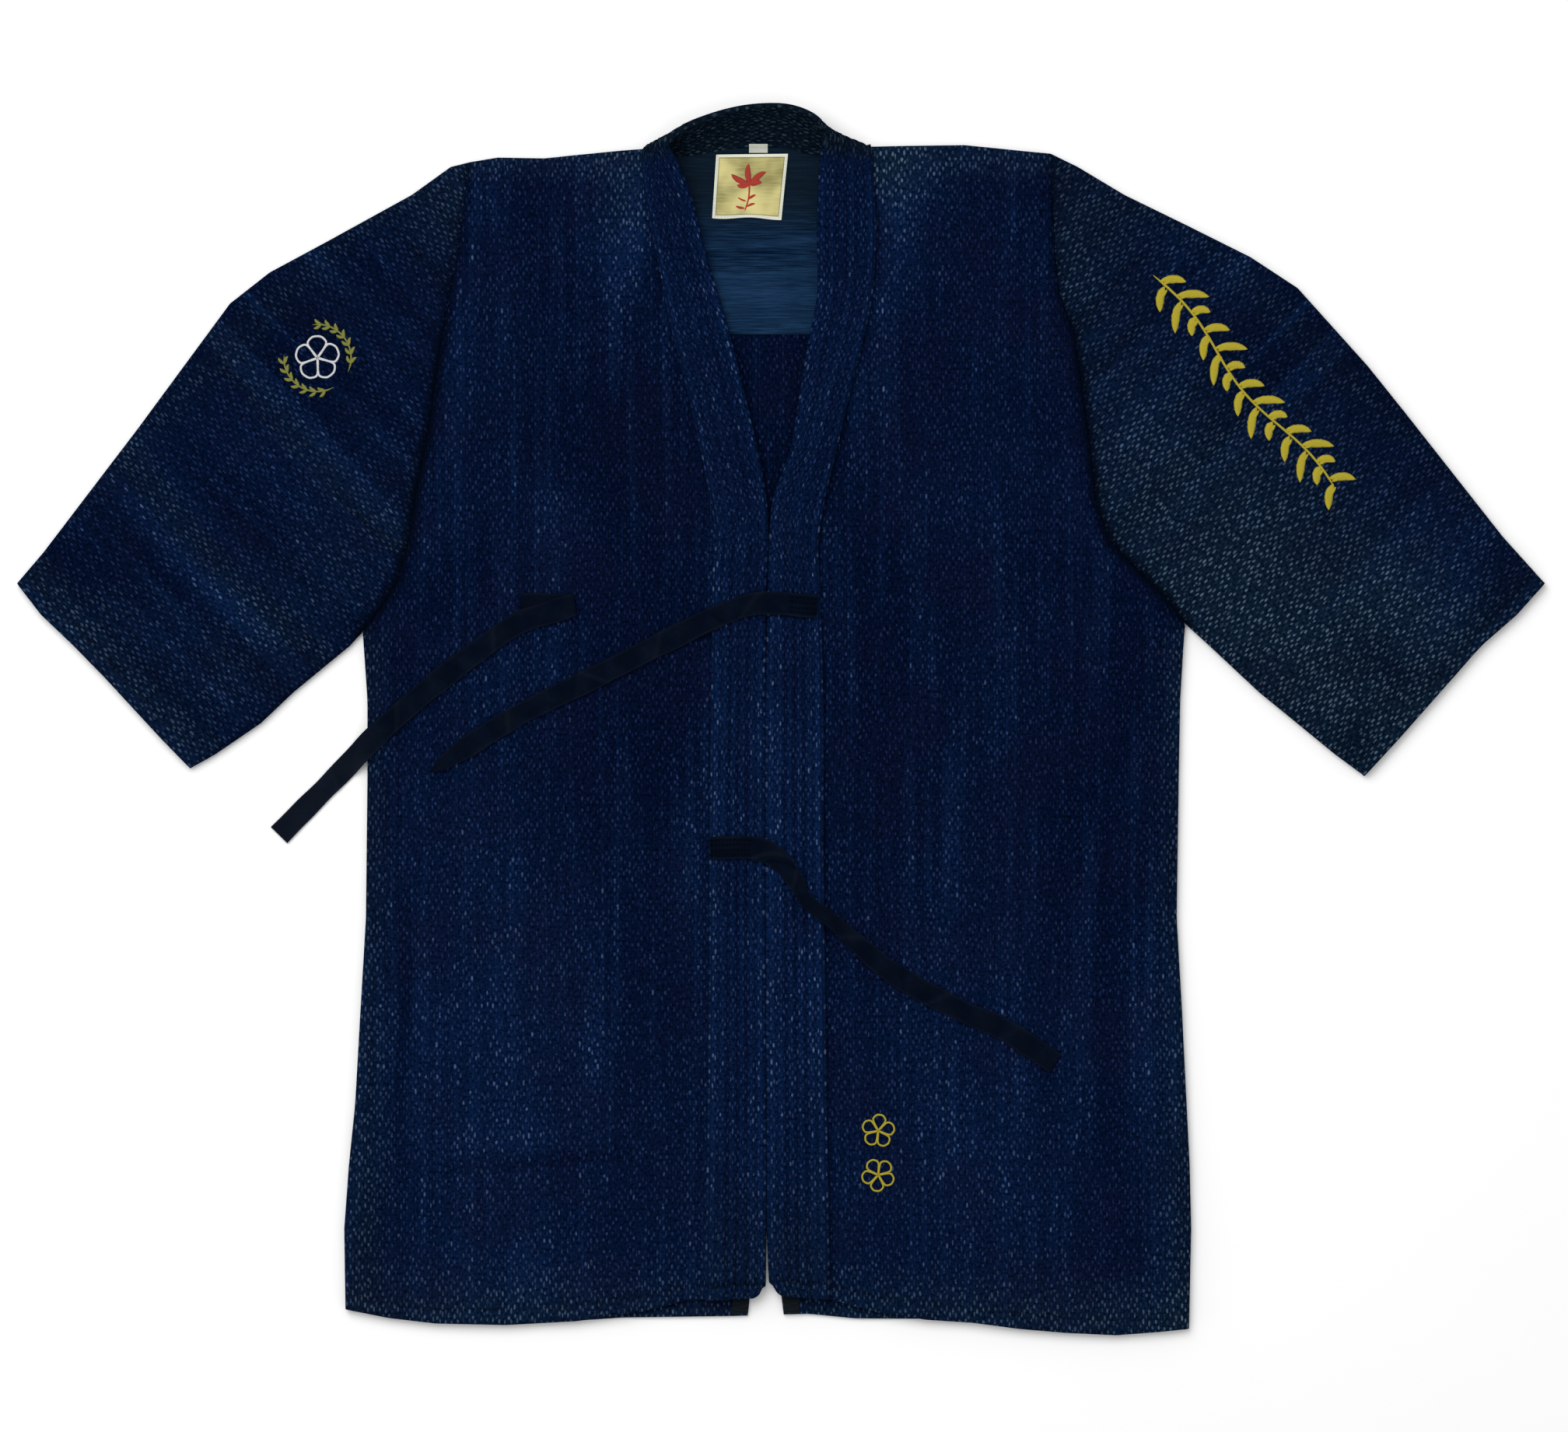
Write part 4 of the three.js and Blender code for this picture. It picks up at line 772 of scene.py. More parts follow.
# Each sleeve has a cloth frame: u from the cuff to the armhole, v along the cuff from its lower
# corner to its upper one, as the yarns run.
def sleeveFrame(side):
    corner = np.array([cuffRows[side + "X"][0], cuffRows[side + "Y"][0]])
    tip = np.array([cuffRows[side + "X"][-1], cuffRows[side + "Y"][-1]])
    alongCuff = (tip - corner) / np.linalg.norm(tip - corner)
    turn = 1 if side == "right" else -1
    inward = np.array([alongCuff[1], -alongCuff[0]]) * turn
    chains = {}
    for key, rows in (("cuff", cuffRows), ("top", sleeveTopRows), ("low", sleeveLowRows),
                      ("arm", armholeRows)):
        rel = stacked(rows[side + "X"], rows[side + "Y"]) - corner
        chains[key] = (rel @ inward, rel @ alongCuff)
    return corner, inward, alongCuff, chains


# Wear of a sleeve: paler and greyer to the lower edge and the cuff, most of all on the left one,
# with bands that run from the top fold to the lower edge, and dark beside the armhole, partly
# unworn dye and partly painted shade of the seam groove. A painted shade line runs along the cuff
# stitching, and the relief paints light on crease ridges and shade in their troughs.
def sleeveWearAndShading(x, y, u, v):
    cuff = 0.25 * bell(u, 16)
    bands = (0.13 * np.sin(u / 9.5 + 0.6 * np.sin(v / 70)) * np.sin(u / 23 + 1)
             + 0.08 * np.sin(u / 5.1 + v / 160))
    # Painted shade in the armhole seam groove, partly unworn dye.
    seam = (0.45 + 0.45 * ease(330, 220, y)) * bell(seamDistance(x, y), 4.5)
    # Painted shade along the groove of the cuff stitching.
    line = 0.5 * bell(u - hemDepth, 1.4)
    # The relief term is painted light on crease ridges and painted shade in their troughs.
    wornAndShaded = fadeAndShadingAt(x, y) + cuff + bands + 0.13 * relief(x, y) * ease(0, 12, seamDistance(x, y))
    return np.clip(wornAndShaded - seam - line, -1, 1)


def sleeveAsh(side, x, y, u, v):
    reach, amount = (110, 1.0) if side == "left" else (36, 0.15)
    low = (amount * bell(v - 30, reach) * (0.4 + 0.6 * ease(330, 150, u))
           * (1 - 0.6 * ease(110, 200, v)))
    shoulder = 0.4 * ease(340, 420, u)
    streaks = ease(0.1, 0.9, np.sin(u / 11 + 0.8 * np.sin(v / 60)) * np.sin(u / 29 + v / 300))
    total = low + shoulder + 0.3 * bell(u, 20) + 0.2 * bell(v - 200, 12)
    if side == "right":
        total = (total + 0.24 * streaks * ease(320, 200, u)
                 + 0.22 * np.exp(-((u - 30) / 30) ** 2 - ((v - 110) / 40) ** 2))
    return np.clip(total * (0.8 + 0.8 * fadeAndShadingAt(x, y)), 0, 1)


# A sleeve, all round. The upper layer stands on the weave; both layers fall round to half the laid
# height at the folded edges, and the turned-up cuff lies inside.
def sleeve(side):
    corner, inward, alongCuff, chains = sleeveFrame(side)
    lowU = np.concatenate([chains["low"][0], chains["arm"][0][1:]])
    lowV = np.concatenate([chains["low"][1], chains["arm"][1][1:]])
    armStart, armEnd = chains["arm"][0][0], chains["arm"][0][-1]
    lowOf = lambda u: interp(u, lowU, lowV) + np.where(u > armStart, 0.05, 0.0)
    topOf = lambda u: np.maximum(interp(u, *chains["top"]), lowOf(u))
    cuffOf = lambda v: interp(v, *chains["cuff"][::-1])
    slope = lambda edge, u: np.hypot(1, (edge(u + 2) - edge(u - 2)) / 4)

    def place(u, v):
        across, along = drift(u + 300, v)
        start = cuffOf(v)
        shut = u + across < start
        u = np.clip(u + across, start, armEnd)
        return u, np.clip(v + along, lowOf(u), topOf(u)), shut

    def plan(u, v):
        return (corner[0] + inward[0] * u + alongCuff[0] * v,
                corner[1] + inward[1] * u + alongCuff[1] * v)

    def foldShare(u, v):
        fromTop = (topOf(u) - v) / slope(topOf, u)
        fromLow = (v - lowOf(u)) / slope(lowOf, u)
        curl = 1 - ease(armStart - 4, armStart + 20, u)
        share = rounded(fromTop, foldRadius) * (1 - curl * (1 - rounded(fromLow, foldRadius)))
        return share, (1 - curl) * 1.2 * (1 - rounded(fromLow, 2.2))

    def upperHeight(u, v, cuffShare, grain):
        x, y = plan(u, v)
        share, groove = foldShare(u, v)
        line = 0.5 * bell(u - cuffOf(v) - hemDepth, 0.9)
        level = laidHeight + relief(x, y) + grain - groove - line * (cuffShare > 0.99)
        return x, y, foldRadius + (level - foldRadius) * share * cuffShare

    def lowerHeight(u, v, cuffShare):
        x, y = plan(u, v)
        return x, y, foldRadius - foldRadius * foldShare(u, v)[0] * cuffShare

    cuffShare = lambda u, v: 0.575 + 0.425 * rounded(u - cuffOf(v), hemRadius)
    u, v, even = latticeGrid(-6, armEnd, lowV.min() - 2, chains["top"][1].max() + 2)
    v = np.where(place(u, even)[2], even, v)
    pu, pv, _ = place(u, v)
    grain = grainRise(u, v) * rounded(pu - cuffOf(pv), 3)
    x, y, z = upperHeight(pu, pv, cuffShare(pu, pv), grain)
    turn = side == "left"
    upper = {"points": stacked(x, y, z), "uv": stacked(u, v),
             "wear": sleeveWearAndShading(x, y, pu, pv), "ash": sleeveAsh(side, x, y, pu, pv), "flip": turn}

    across = np.array([0, 0.003, 0.008, 0.016, 0.03, 0.1, 0.2, 0.3, 0.4, 0.5, 0.6, 0.7, 0.8, 0.9,
                       0.97, 0.984, 0.992, 0.997, 1.0])[:, None]
    columns = pu[len(pu) // 2][None, :]
    lv = lowOf(columns) + (topOf(columns) - lowOf(columns)) * across
    lu = np.maximum(np.broadcast_to(columns, lv.shape), cuffOf(lv))
    x, y, z = lowerHeight(lu, lv, cuffShare(lu, lv))
    lower = {"points": stacked(x, y, z), "uv": stacked(lu, 2 * lowOf(lu) - lv + 500),
             "wear": sleeveWearAndShading(x, y, lu, lv), "ash": sleeveAsh(side, x, y, lu, lv),
             "flip": not turn}

    grids = [upper, lower]
    inset = np.array([0.0, 0.5, hemRadius, 6.0, hemDepth])[:, None]
    share = np.array([0.575, 0.28, 0.15, 0.15, 0.15])[:, None]
    for layer, rowsV in (("upper", pv[:, 0]), ("lower", lv[:, 0])):
        cv = np.broadcast_to(rowsV[None, :], (len(inset), len(rowsV)))
        cu = cuffOf(cv) + inset
        if layer == "upper":
            x, y, z = upperHeight(cu, cv, np.broadcast_to(share, cv.shape), 0.0)
        else:
            x, y, z = lowerHeight(cu, cv, np.broadcast_to(share, cv.shape))
        grids.append({"points": stacked(x, y, z), "uv": stacked(-cu, cv), "wear": 0.2,
                      "flip": (layer == "upper") == turn})
    cv = np.linspace(6, chains["cuff"][1].max() - 6, 60)
    x, y, z = upperHeight(cuffOf(cv) + hemDepth, cv, 1.0, -grainMean)
    seamLines.append(stacked(x, y, z + 0.1))
    piece = makePiece(f"sleeve_cloth_{side}", grids, sleeveCotton,
                      [f"sleeve_{side}"])


for side in ("right", "left"):
    sleeve(side)


# Point of a centripetal spline through rows of points; at runs from 0 to 1, even from row to row.
def spline(points, at):
    last = len(points) - 1
    place = np.clip(at, 0, 1) * last
    k = np.clip(np.floor(place).astype(int), 0, last - 1)
    w = (place - k)[..., None]
    padded = np.concatenate([[2 * points[0] - points[1]], points, [2 * points[-1] - points[-2]]])
    p0, p1, p2, p3 = (padded[k + j] for j in range(4))
    gap = lambda a, b: np.maximum(np.linalg.norm(b - a, axis=-1, keepdims=True), 1e-6) ** 0.5
    d0, d1, d2 = gap(p0, p1), gap(p1, p2), gap(p2, p3)
    t1 = ((p1 - p0) / d0 - (p2 - p0) / (d0 + d1) + (p2 - p1) / d1) * d1
    t2 = ((p2 - p1) / d1 - (p3 - p1) / (d1 + d2) + (p3 - p2) / d2) * d1
    return p1 + t1 * w + (3 * (p2 - p1) - 2 * t1 - t2) * w ** 2 + (2 * (p1 - p2) + t1 + t2) * w ** 3


# Length along a line of points, from 0 at the first.
def arcLength(line):
    return np.concatenate([[0], np.cumsum(np.linalg.norm(np.diff(line, axis=0), axis=1))])


# A smooth line through plan points, in even steps: the run, the places and the headings.
def followed(line, fine, countFor):
    dense = spline(np.array([(x, y, 0.0) for x, y in line]), np.linspace(0, 1, fine))
    length = arcLength(dense)
    run = np.linspace(0, length[-1], countFor(length[-1]))
    centre = np.stack([np.interp(run, length, dense[:, k]) for k in (0, 1)], -1)
    ahead = np.gradient(centre, axis=0)
    return run, centre, ahead / np.linalg.norm(ahead, axis=1, keepdims=True)


band = {"thick": 5.0, "width": 42.0, "slack": 2.5, "ribs": 6, "ribRise": 0.9, "edge": 0.055,
        "corner": 7.0, "turns": ((-88, 409), (47, 412))}
seamEdge = stacked(bandRows["seamX"], bandRows["seamY"], bandRows["seamZ"])
freeEdge = stacked(bandRows["freeX"], bandRows["freeY"], bandRows["freeZ"])


# The collar band. Across, it runs from the sewn edge to the free one, bulging where the two are
# closer than its width; both faces have ribs of |sine| between the quilting lines, and the edges
# are half round. Along, the ends close to the middle of the thickness.
def collarBand():
    dense = np.linspace(0, 1, 4001)
    middle = (spline(seamEdge, dense) + spline(freeEdge, dense)) / 2
    length = arcLength(middle)
    total = length[-1]
    stepV = weave["repeat"] / 3 * coarse
    rows = np.arange(1, int(total / stepV) - 1) * stepV
    ends = np.array([0.0, 0.15, 0.5, 1.1])
    rows = np.concatenate([ends, rows, total - ends[::-1]])
    count = 40
    k = np.arange(count + 1)
    faceShare = band["edge"] + (1 - 2 * band["edge"]) * k / count
    roll = np.array([25, 60, 90, 120, 155]) * np.pi / 180
    share = np.concatenate([faceShare, np.full(5, 1 - band["edge"]), faceShare[::-1],
                            np.full(5, band["edge"])])
    face = np.concatenate([np.ones(count + 1), np.cos(roll), -np.ones(count + 1), -np.cos(roll)])
    reach = np.concatenate([np.zeros(count + 1), np.sin(roll), np.zeros(count + 1), -np.sin(roll)])
    across = np.concatenate([k, count + np.arange(1, 6) * 0.66, count + 4 + k,
                             2 * count + 4 + np.arange(1, 6) * 0.66])
    across = across * weave["pitch"] / 2
    zig = np.array([0.5, 0.0, 0.5, 1.0])[k % 4]
    zig = np.concatenate([zig, np.full(5, 0.5), zig, np.full(5, 0.5)]) * stepV / 2
    v, u = np.meshgrid(rows, across, indexing="ij")
    inside = (v > 2) & (v < total - 4)
    v = v + np.where(inside, np.broadcast_to(zig, v.shape), 0)
    corner = np.clip((share * band["width"] - band["width"] + band["corner"] + 3) / band["corner"],
                     0, 1)
    cut = np.broadcast_to(band["corner"] * (1 - np.sqrt(1 - corner ** 2)), v.shape)
    v = np.clip(v, cut, total - cut)
    fromEnd = np.minimum(v, total - v)
    at = np.interp(v, length, dense)
    start, end = spline(seamEdge, at), spline(freeEdge, at)
    ahead = spline(seamEdge, at + 0.004) + spline(freeEdge, at + 0.004)
    behind = spline(seamEdge, at - 0.004) + spline(freeEdge, at - 0.004)
    chord = end - start
    size = np.linalg.norm(chord, axis=-1, keepdims=True)
    normal = np.cross(chord, ahead - behind)
    normal = normal / np.linalg.norm(normal, axis=-1, keepdims=True)
    spare = np.maximum(band["width"] - band["slack"] - size, 0)
    halfway = (start + end) / 2
    turning = sum(np.exp(-(((halfway[..., :1] - cx) / 18) ** 2
                           + ((halfway[..., 1:2] - cy) / 18) ** 2))
                  for cx, cy in band["turns"])
    bulge = 0.6 * np.sqrt(spare * size * 3 / 8) * (1 - 0.95 * np.clip(turning, 0, 1))
    w = np.broadcast_to(share, v.shape)[..., None]
    point = start + chord * w
    point[..., 2] += np.minimum(chord[..., 2], 0) * (w[..., 0] ** 2 - w[..., 0])
    ribs = (band["ribRise"]
            * np.abs(np.sin(np.pi * band["ribs"] * np.broadcast_to(share, v.shape))) ** 0.8)
    flat = np.abs(face) > 0.999
    puff = 0.15 * np.sin(v / 17 + u / 9) + 0.1 * np.sin(v / 7.3 + 1)
    grain = (stitchRise(u, v) - 0.1) * 0.8
    lift = band["thick"] / 2 + np.where(flat, ribs + grain + puff * flat, 0.25)
    close = rounded(fromEnd - cut, 2.2)
    lift = lift - 0.7 * flat * bell(fromEnd - hemDepth, 1.2)
    offset = face * lift * close
    point = point + normal * (bulge * 4 * w * (1 - w) + offset[..., None])
    closer = (0.6 * (reach > 0) * reach * (1 - ease(-352, -392, point[..., 1]))
              * (1 - ease(120, 150, point[..., 1])))
    point = (point + chord * (reach * close * band["edge"])[..., None]
             + chord / size * closer[..., None])
    edges = bell(share - 0.1, 0.12) + bell(share - 0.9, 0.12)
    crest = np.abs(np.sin(np.pi * band["ribs"] * share)) ** 2
    middleY = np.interp(v, length, middle[:, 1])
    above = ease(-40, 160, middleY)
    nape = ease(397, 413, middleY)
    within = nape * (face < 0.2)
    wear = 0.45 * edges + 0.5 * crest + 0.1 + 0.1 * np.sin(v / 43 + 2 * share) * np.sin(v / 17)
    wear = wear * (1 - 0.45 * above) * (1 - 0.85 * nape) + 0.45 * nape * bell(share - 0.97, 0.05)
    # Darker across each end along the stitched line: painted shade in its groove.
    wear = wear + 0.2 * bell(fromEnd - 4, 5) - 0.9 * bell(fromEnd - hemDepth, 1.1)
    wear = np.clip(wear - 0.12 * within, -1, 1)
    ash = 0.35 * bell(fromEnd, 70) + nape * (0.85 + 0.15 * bell(share - 0.97, 0.08))
    grid = {"points": point, "uv": stacked(u, v), "wear": wear, "ash": ash, "joined": True}
    piece = makePiece("collar_band", [grid], bandCotton, ["collar"])
    return total


bandLength = collarBand()
print("band length", round(bandLength), "mm")


# Lining of the upper back: flat on the back, with soft level creases, its lower edge turned under.
def liningPiece():
    look = {"left": -178, "right": 148, "low": 276, "high": 130, "step": 2.0 * coarse}
    creased = ((341, 2.2, 0.75, 10), (333, 1.8, -0.5, 40), (319, 2.6, 0.7, 0),
               (303, 3.2, 0.45, 70), (291, 2.2, -0.35, 25), (350, 1.6, -0.4, 55))
    x = np.arange(look["left"], look["right"] + 0.1, look["step"])
    t = np.concatenate([[0, 0.002, 0.006], np.linspace(0.012, 1, int(look["high"] / look["step"]))])
    x, t = np.meshgrid(x, t)
    neck = (x > -100) & (x < 66)
    seam = rowY(neckRows, x)
    top = np.where(neck, seam + 2.2, rowY(shoulderRows, x) - 6)
    y = look["low"] + (top - look["low"]) * t
    bare = ease(labelCorners["low"] - 2, labelCorners["low"] - 12, y)
    folds = sum(rise * bell(y - level - 2.5 * np.sin((x + shift) / 31), width)
                for level, width, rise, shift in creased)
    z = (3.9 + folds * bare + 0.08 * np.sin(x / 11 + y / 5) * bare
         + neck * 2.0 * ease(seam - 2, seam + 2.2, y))
    z = 2.95 + (z - 2.95) * rounded(t * look["high"], 1.0)
    # Paler on the crests of the creases, painted light, and paler towards the lower edge.
    wear = folds * bare * 0.55 + 0.35 * ease(346, 300, y) + 0.1 * np.sin(y / 9 + np.sin(x / 21))
    # The ash attribute rises towards the collar: its painted shadow on the lining.
    grid = {"points": stacked(x, y, z), "uv": stacked(x, y), "wear": wear, "ash": ease(335, 378, y)}
    piece = makePiece("lining_cloth", [grid], liningCotton, ["lining"])


# Closed flat piece over a rectangle: the upper face is crowned and meets the lower one at the rim.
def flatPatch(left, right, low, high, base, thick, step, warp=None):
    x = np.concatenate([[left, left + 0.15, left + 0.5],
                        np.linspace(left + 1, right - 1, int((right - left) / step)),
                        [right - 0.5, right - 0.15, right]])
    y = np.concatenate([[low, low + 0.15, low + 0.5],
                        np.linspace(low + 1, high - 1, int((high - low) / step)),
                        [high - 0.5, high - 0.15, high]])
    x, y = np.meshgrid(x, y)
    edge = rounded(np.minimum(np.minimum(x - left, right - x), np.minimum(y - low, high - y)), 0.6)
    half = thick / 2 * edge
    lift = base + thick / 2 + (warp(x, y) if warp else 0)
    uv = stacked(x - (left + right) / 2, y - (low + high) / 2)
    return [{"points": stacked(x, y, lift + half), "uv": uv},
            {"points": stacked(x, y, lift - half), "uv": uv, "flip": True}]


# The label leans a little and its lower edge waves: corners blended across s and t in 0 to 1.
labelLook = {"corners": ((-49.2, 359.4), (0.4, 358.4), (-46.3, 404.6), (5.2, 405.2)),
             "base": 4.3, "thick": 0.8, "border": 1.3, "wave": 0.7}


def labelPlace(s, t):
    c = np.array(labelLook["corners"]).reshape(4, 2, *[1] * np.ndim(s))
    x, y = (1 - t) * ((1 - s) * c[0] + s * c[1]) + t * ((1 - s) * c[2] + s * c[3])
    y = y - labelLook["wave"] * np.sin(7.5 * s + 0.6) * (1 - t) ** 6
    lift = (0.35 * np.sin(3.4 * s + 0.5) * np.sin(5.5 * t)
            + 0.5 * np.maximum(np.sin(7.5 * s + 3.4), 0) * (1 - t) ** 8)
    return x, y, labelLook["base"] + labelLook["thick"] / 2 + np.maximum(lift, -0.1)


def labelPiece():
    c = labelCorners
    wide, high = c["right"] - c["left"], c["high"] - c["low"]
    grids = flatPatch(0, wide, 0, high, 0, labelLook["thick"], 1.1)
    for grid in grids:
        p = grid["points"]
        x, y, z = labelPlace(p[..., 0] / wide, p[..., 1] / high)
        grid["points"] = stacked(x, y, z + p[..., 2] - labelLook["thick"] / 2)
    piece = makePiece("label_cloth", grids, labelWeave, ["label"])
    inset = labelLook["border"]
    edge = np.array([(inset, high), (inset, inset), (wide - inset, inset), (wide - inset, high)])
    run = np.concatenate([np.linspace(edge[k], edge[k + 1], 40) for k in range(3)])
    x, y, z = labelPlace(run[:, 0] / wide, run[:, 1] / high)
    return stacked(x, y, z + labelLook["thick"] / 2 + 0.08)


def tabPiece():
    rows = table("y z", (405.7, 4.2), (407.6, 4.8), (409.4, 6.2), (411.8, 8.2))
    warp = lambda x, y: interp(y, rows["y"], rows["z"]) - 4.2
    piece = makePiece("size_tab_cloth", flatPatch(-22.8, -9.4, 405.7, 411.8, 4.2, 0.6, 0.6, warp),
                      tabCotton, ["size_tab"])


def ventFacing(side):
    inwards = -1 if side == "right" else 1
    hemY = rowY(backHemRows, interp(-427, centreRows["y"], centreRows[side]))
    edgeOf = lambda y: interp(y, centreRows["y"], centreRows[side]) + inwards * 0.8
    grids = flatPatch(0, 11, hemY + 1.2, -322, 2.9, 0.8, 1.5)
    for grid in grids:
        p = grid["points"]
        p[..., 2] += (hemThick - wall) * ease(hemY + hemDepth + 6, hemY + hemDepth + 2, p[..., 1])
        p[..., 0] = edgeOf(p[..., 1]) + inwards * p[..., 0]
        grid["flip"] = grid.get("flip", False) != (inwards < 0)
    piece = makePiece(f"vent_tape_{side}", grids, facingCotton,
                      [f"vent_facing_{side}"])


liningPiece()
labelBorder = labelPiece()
tabPiece()
ventFacing("right")
ventFacing("left")

# Height of what the ties lie on, the highest point in each small square of the plan.
ground = {"x0": -420.0, "y0": -300.0, "cell": 2.7, "cols": 280, "rows": 170}
heightMap = np.zeros((ground["rows"], ground["cols"]))
for name in ("front_cloth_right", "front_cloth_left", "sleeve_cloth_right", "collar_band"):
    mesh = bpy.data.objects[name].data
    flatPoints = np.empty(len(mesh.vertices) * 3)
    mesh.vertices.foreach_get("co", flatPoints)
    spots = flatPoints.reshape(-1, 3) * 1000 - planShift
    col = np.floor((spots[:, 0] - ground["x0"]) / ground["cell"]).astype(int)
    row = np.floor((spots[:, 1] - ground["y0"]) / ground["cell"]).astype(int)
    near = (col >= 0) & (col < ground["cols"]) & (row >= 0) & (row < ground["rows"])
    np.maximum.at(heightMap, (row[near], col[near]), spots[near, 2])
if coarse > 1:
    for _ in range(2):
        padded = np.pad(heightMap, 1)
        heightMap = np.max([padded[a:a + ground["rows"], b:b + ground["cols"]] for a in range(3)
                            for b in range(3)], axis=0)


def groundHeight(x, y):
    col = np.clip(np.round((x - ground["x0"]) / ground["cell"] - 0.5).astype(int), 0,
                  ground["cols"] - 1)
    row = np.clip(np.round((y - ground["y0"]) / ground["cell"] - 0.5).astype(int), 0,
                  ground["rows"] - 1)
    return heightMap[row, col]


# Running highest value and mean along the first axis, over so many rows each way.
def bridged(values, reach):
    padded = np.pad(values, ((reach, reach), (0, 0)), mode="edge")
    windows = np.lib.stride_tricks.sliding_window_view(padded, 2 * reach + 1, axis=0)
    highest = windows.max(axis=-1)
    padded = np.pad(highest, ((reach, reach), (0, 0)), mode="edge")
    return np.lib.stride_tricks.sliding_window_view(padded, 2 * reach + 1, axis=0).mean(axis=-1)


# Rows along a line of the plan and lanes across it: x, y and the run in millimetres, and the lanes
# from -1 to 1.
def tapeLanes(line, look, turned=1):
    run, centre, ahead = followed(line, 2001, lambda total: int(total / 1.6) + 1)
    square = stacked(-ahead[:, 1], ahead[:, 0]) * turned
    share = run / run[-1]
    half = (np.interp(share, *look["width"]) * look["half"]
            * (1 + 0.03 * np.sin(run / 13) + 0.02 * np.sin(run / 5.3)))
    lanes = np.linspace(-1, 1, look["lanes"])
    x = centre[:, :1] + square[:, :1] * half[:, None] * lanes
    y = centre[:, 1:] + square[:, 1:] * half[:, None] * lanes
    return x, y, run, lanes


# A tape laid along a line of the plan. Each lane lies on what is below it and bridges its dips;
# arch * (1 - lane^2) lifts the middle, slanting creases cross it, and sewn lines are pressed in
# along its stitched end. Where a tucked line is given, the tape starts along that one, below, and
# turns up and back in a half circle. Both faces stand half the thickness off this middle surface.
def tape(name, line, look, replaced, tucked=None):
    def restingOn(below):
        wide = np.pad(below, ((0, 0), (1, 1)), mode="edge")
        below = np.maximum(below, (wide[:, :-2] + wide[:, 2:]) / 2)
        return bridged(below, 4) + layGap + 0.05 + look["thick"] / 2

    x, y, run, lanes = tapeLanes(line, look)
    below = groundHeight(x, y)
    if tucked:
        ax, ay, aRun, _ = tapeLanes(tucked, dict(look, width=((0, 1), (1, 1))), -1)
        az = restingOn(groundHeight(ax, ay))
        under = awayFrom(x, y, *tucked[0], *tucked[-1]) < look["half"] + 1
        below = np.maximum(below, np.where(under, az.mean() + look["thick"] / 2, 0))
    share = (run / run[-1])[:, None]
    z = restingOn(below) + np.interp(share, *look["arch"]) * (1 - lanes ** 2)
    z = (z + look["wave"]
         * (np.abs(np.sin(run / 11))[:, None] * (0.5 + 0.5 * lanes)
            + 0.6 * np.sin(run / 4.7)[:, None] ** 4))
    crease = sum((depth * bell(run[:, None] - at - slant * lanes, 1.8)
                  for at, slant, depth in look["folds"]),
                 0.2 * np.sin(run / 7.3)[:, None] * np.sin(run[:, None] / 31 + 2 * lanes))
    z, along = z + crease, run
    if tucked:
        bend = np.linspace(0, np.pi, 9)[1:-1, None]
        rise = (z[0] - az[-1]) / 2
        ahead = np.array([ax[-1].mean() - ax[-2].mean(), ay[-1].mean() - ay[-2].mean()])
        ahead = ahead / np.hypot(*ahead)
        mix = bend / np.pi
        turnX = ax[-1] * (1 - mix) + x[0] * mix + ahead[0] * rise * np.sin(bend)
        turnY = ay[-1] * (1 - mix) + y[0] * mix + ahead[1] * rise * np.sin(bend)
        turnZ = az[-1] + rise * (1 - np.cos(bend))
        x, y, z = np.vstack([ax, turnX, x]), np.vstack([ay, turnY, y]), np.vstack([az, turnZ, z])
        along = np.concatenate([aRun, aRun[-1] + mix[:, 0] * 4, aRun[-1] + 4 + run])
        crease = np.vstack([np.zeros((len(along) - len(crease), look["lanes"])), crease])
    middle = stacked(x, y, z)
    normal = np.cross(np.gradient(middle, axis=0), np.gradient(middle, axis=1))
    normal = normal / np.linalg.norm(normal, axis=-1, keepdims=True)
    total = along[-1]
    close = rounded(np.minimum(along, total - along) + 0.2, 1.2)[:, None]
    thick = look["thick"] / 2 * (0.35 + 0.65 * rounded(1 - np.abs(lanes), 0.2)) * close
    sewn = ease(look["sewn"], look["sewn"] - 2, along)[:, None] * (look["sewn"] > 0)
    press = 0.4 * sewn * sum(bell(lanes - c, 0.09) for c in look["rows"])
    upper, lower = middle + normal * (thick - press)[..., None], middle - normal * thick[..., None]
    uv = np.stack(np.broadcast_arrays(lanes * look["half"], along[:, None]), -1)
    # Paler at the selvedges and with dust towards the free end; darker in the pressed sewn lines,
    # painted shade; the creases add painted light on their crests and painted shade in their
    # troughs.
    wear = 0.25 * ease(0.75, 1, np.abs(lanes)) - 1.5 * press + 0.1 * np.sin(along / 9)[:, None] ** 2
    wear = np.clip(wear + 0.35 * crease
                   + ease(total - 105, total - 75, along)[:, None] * look["dustAndHighlight"], -1, 1)
    grids = [{"points": upper, "uv": uv, "flip": True, "wear": wear},
             {"points": lower, "uv": uv, "wear": wear}]
    for a in (0, -1):
        grids.append({"points": np.stack([lower[:, a], upper[:, a]], 1), "uv": uv[:, [a, a]],
                      "flip": a != 0})
        grids.append({"points": np.stack([lower[a], upper[a]], 0), "uv": uv[[a, a]],
                      "flip": a != 0})
    piece = makePiece(name, grids, tieTwill, replaced)
    total / 1000
    for c in look["rows"] if look["sewn"] else ():
        lane = int(round((c + 1) / 2 * (look["lanes"] - 1)))
        tieLines.append(upper[(along > 1.5) & (along < look["sewn"] - 1), lane] + [0, 0, 0.05])


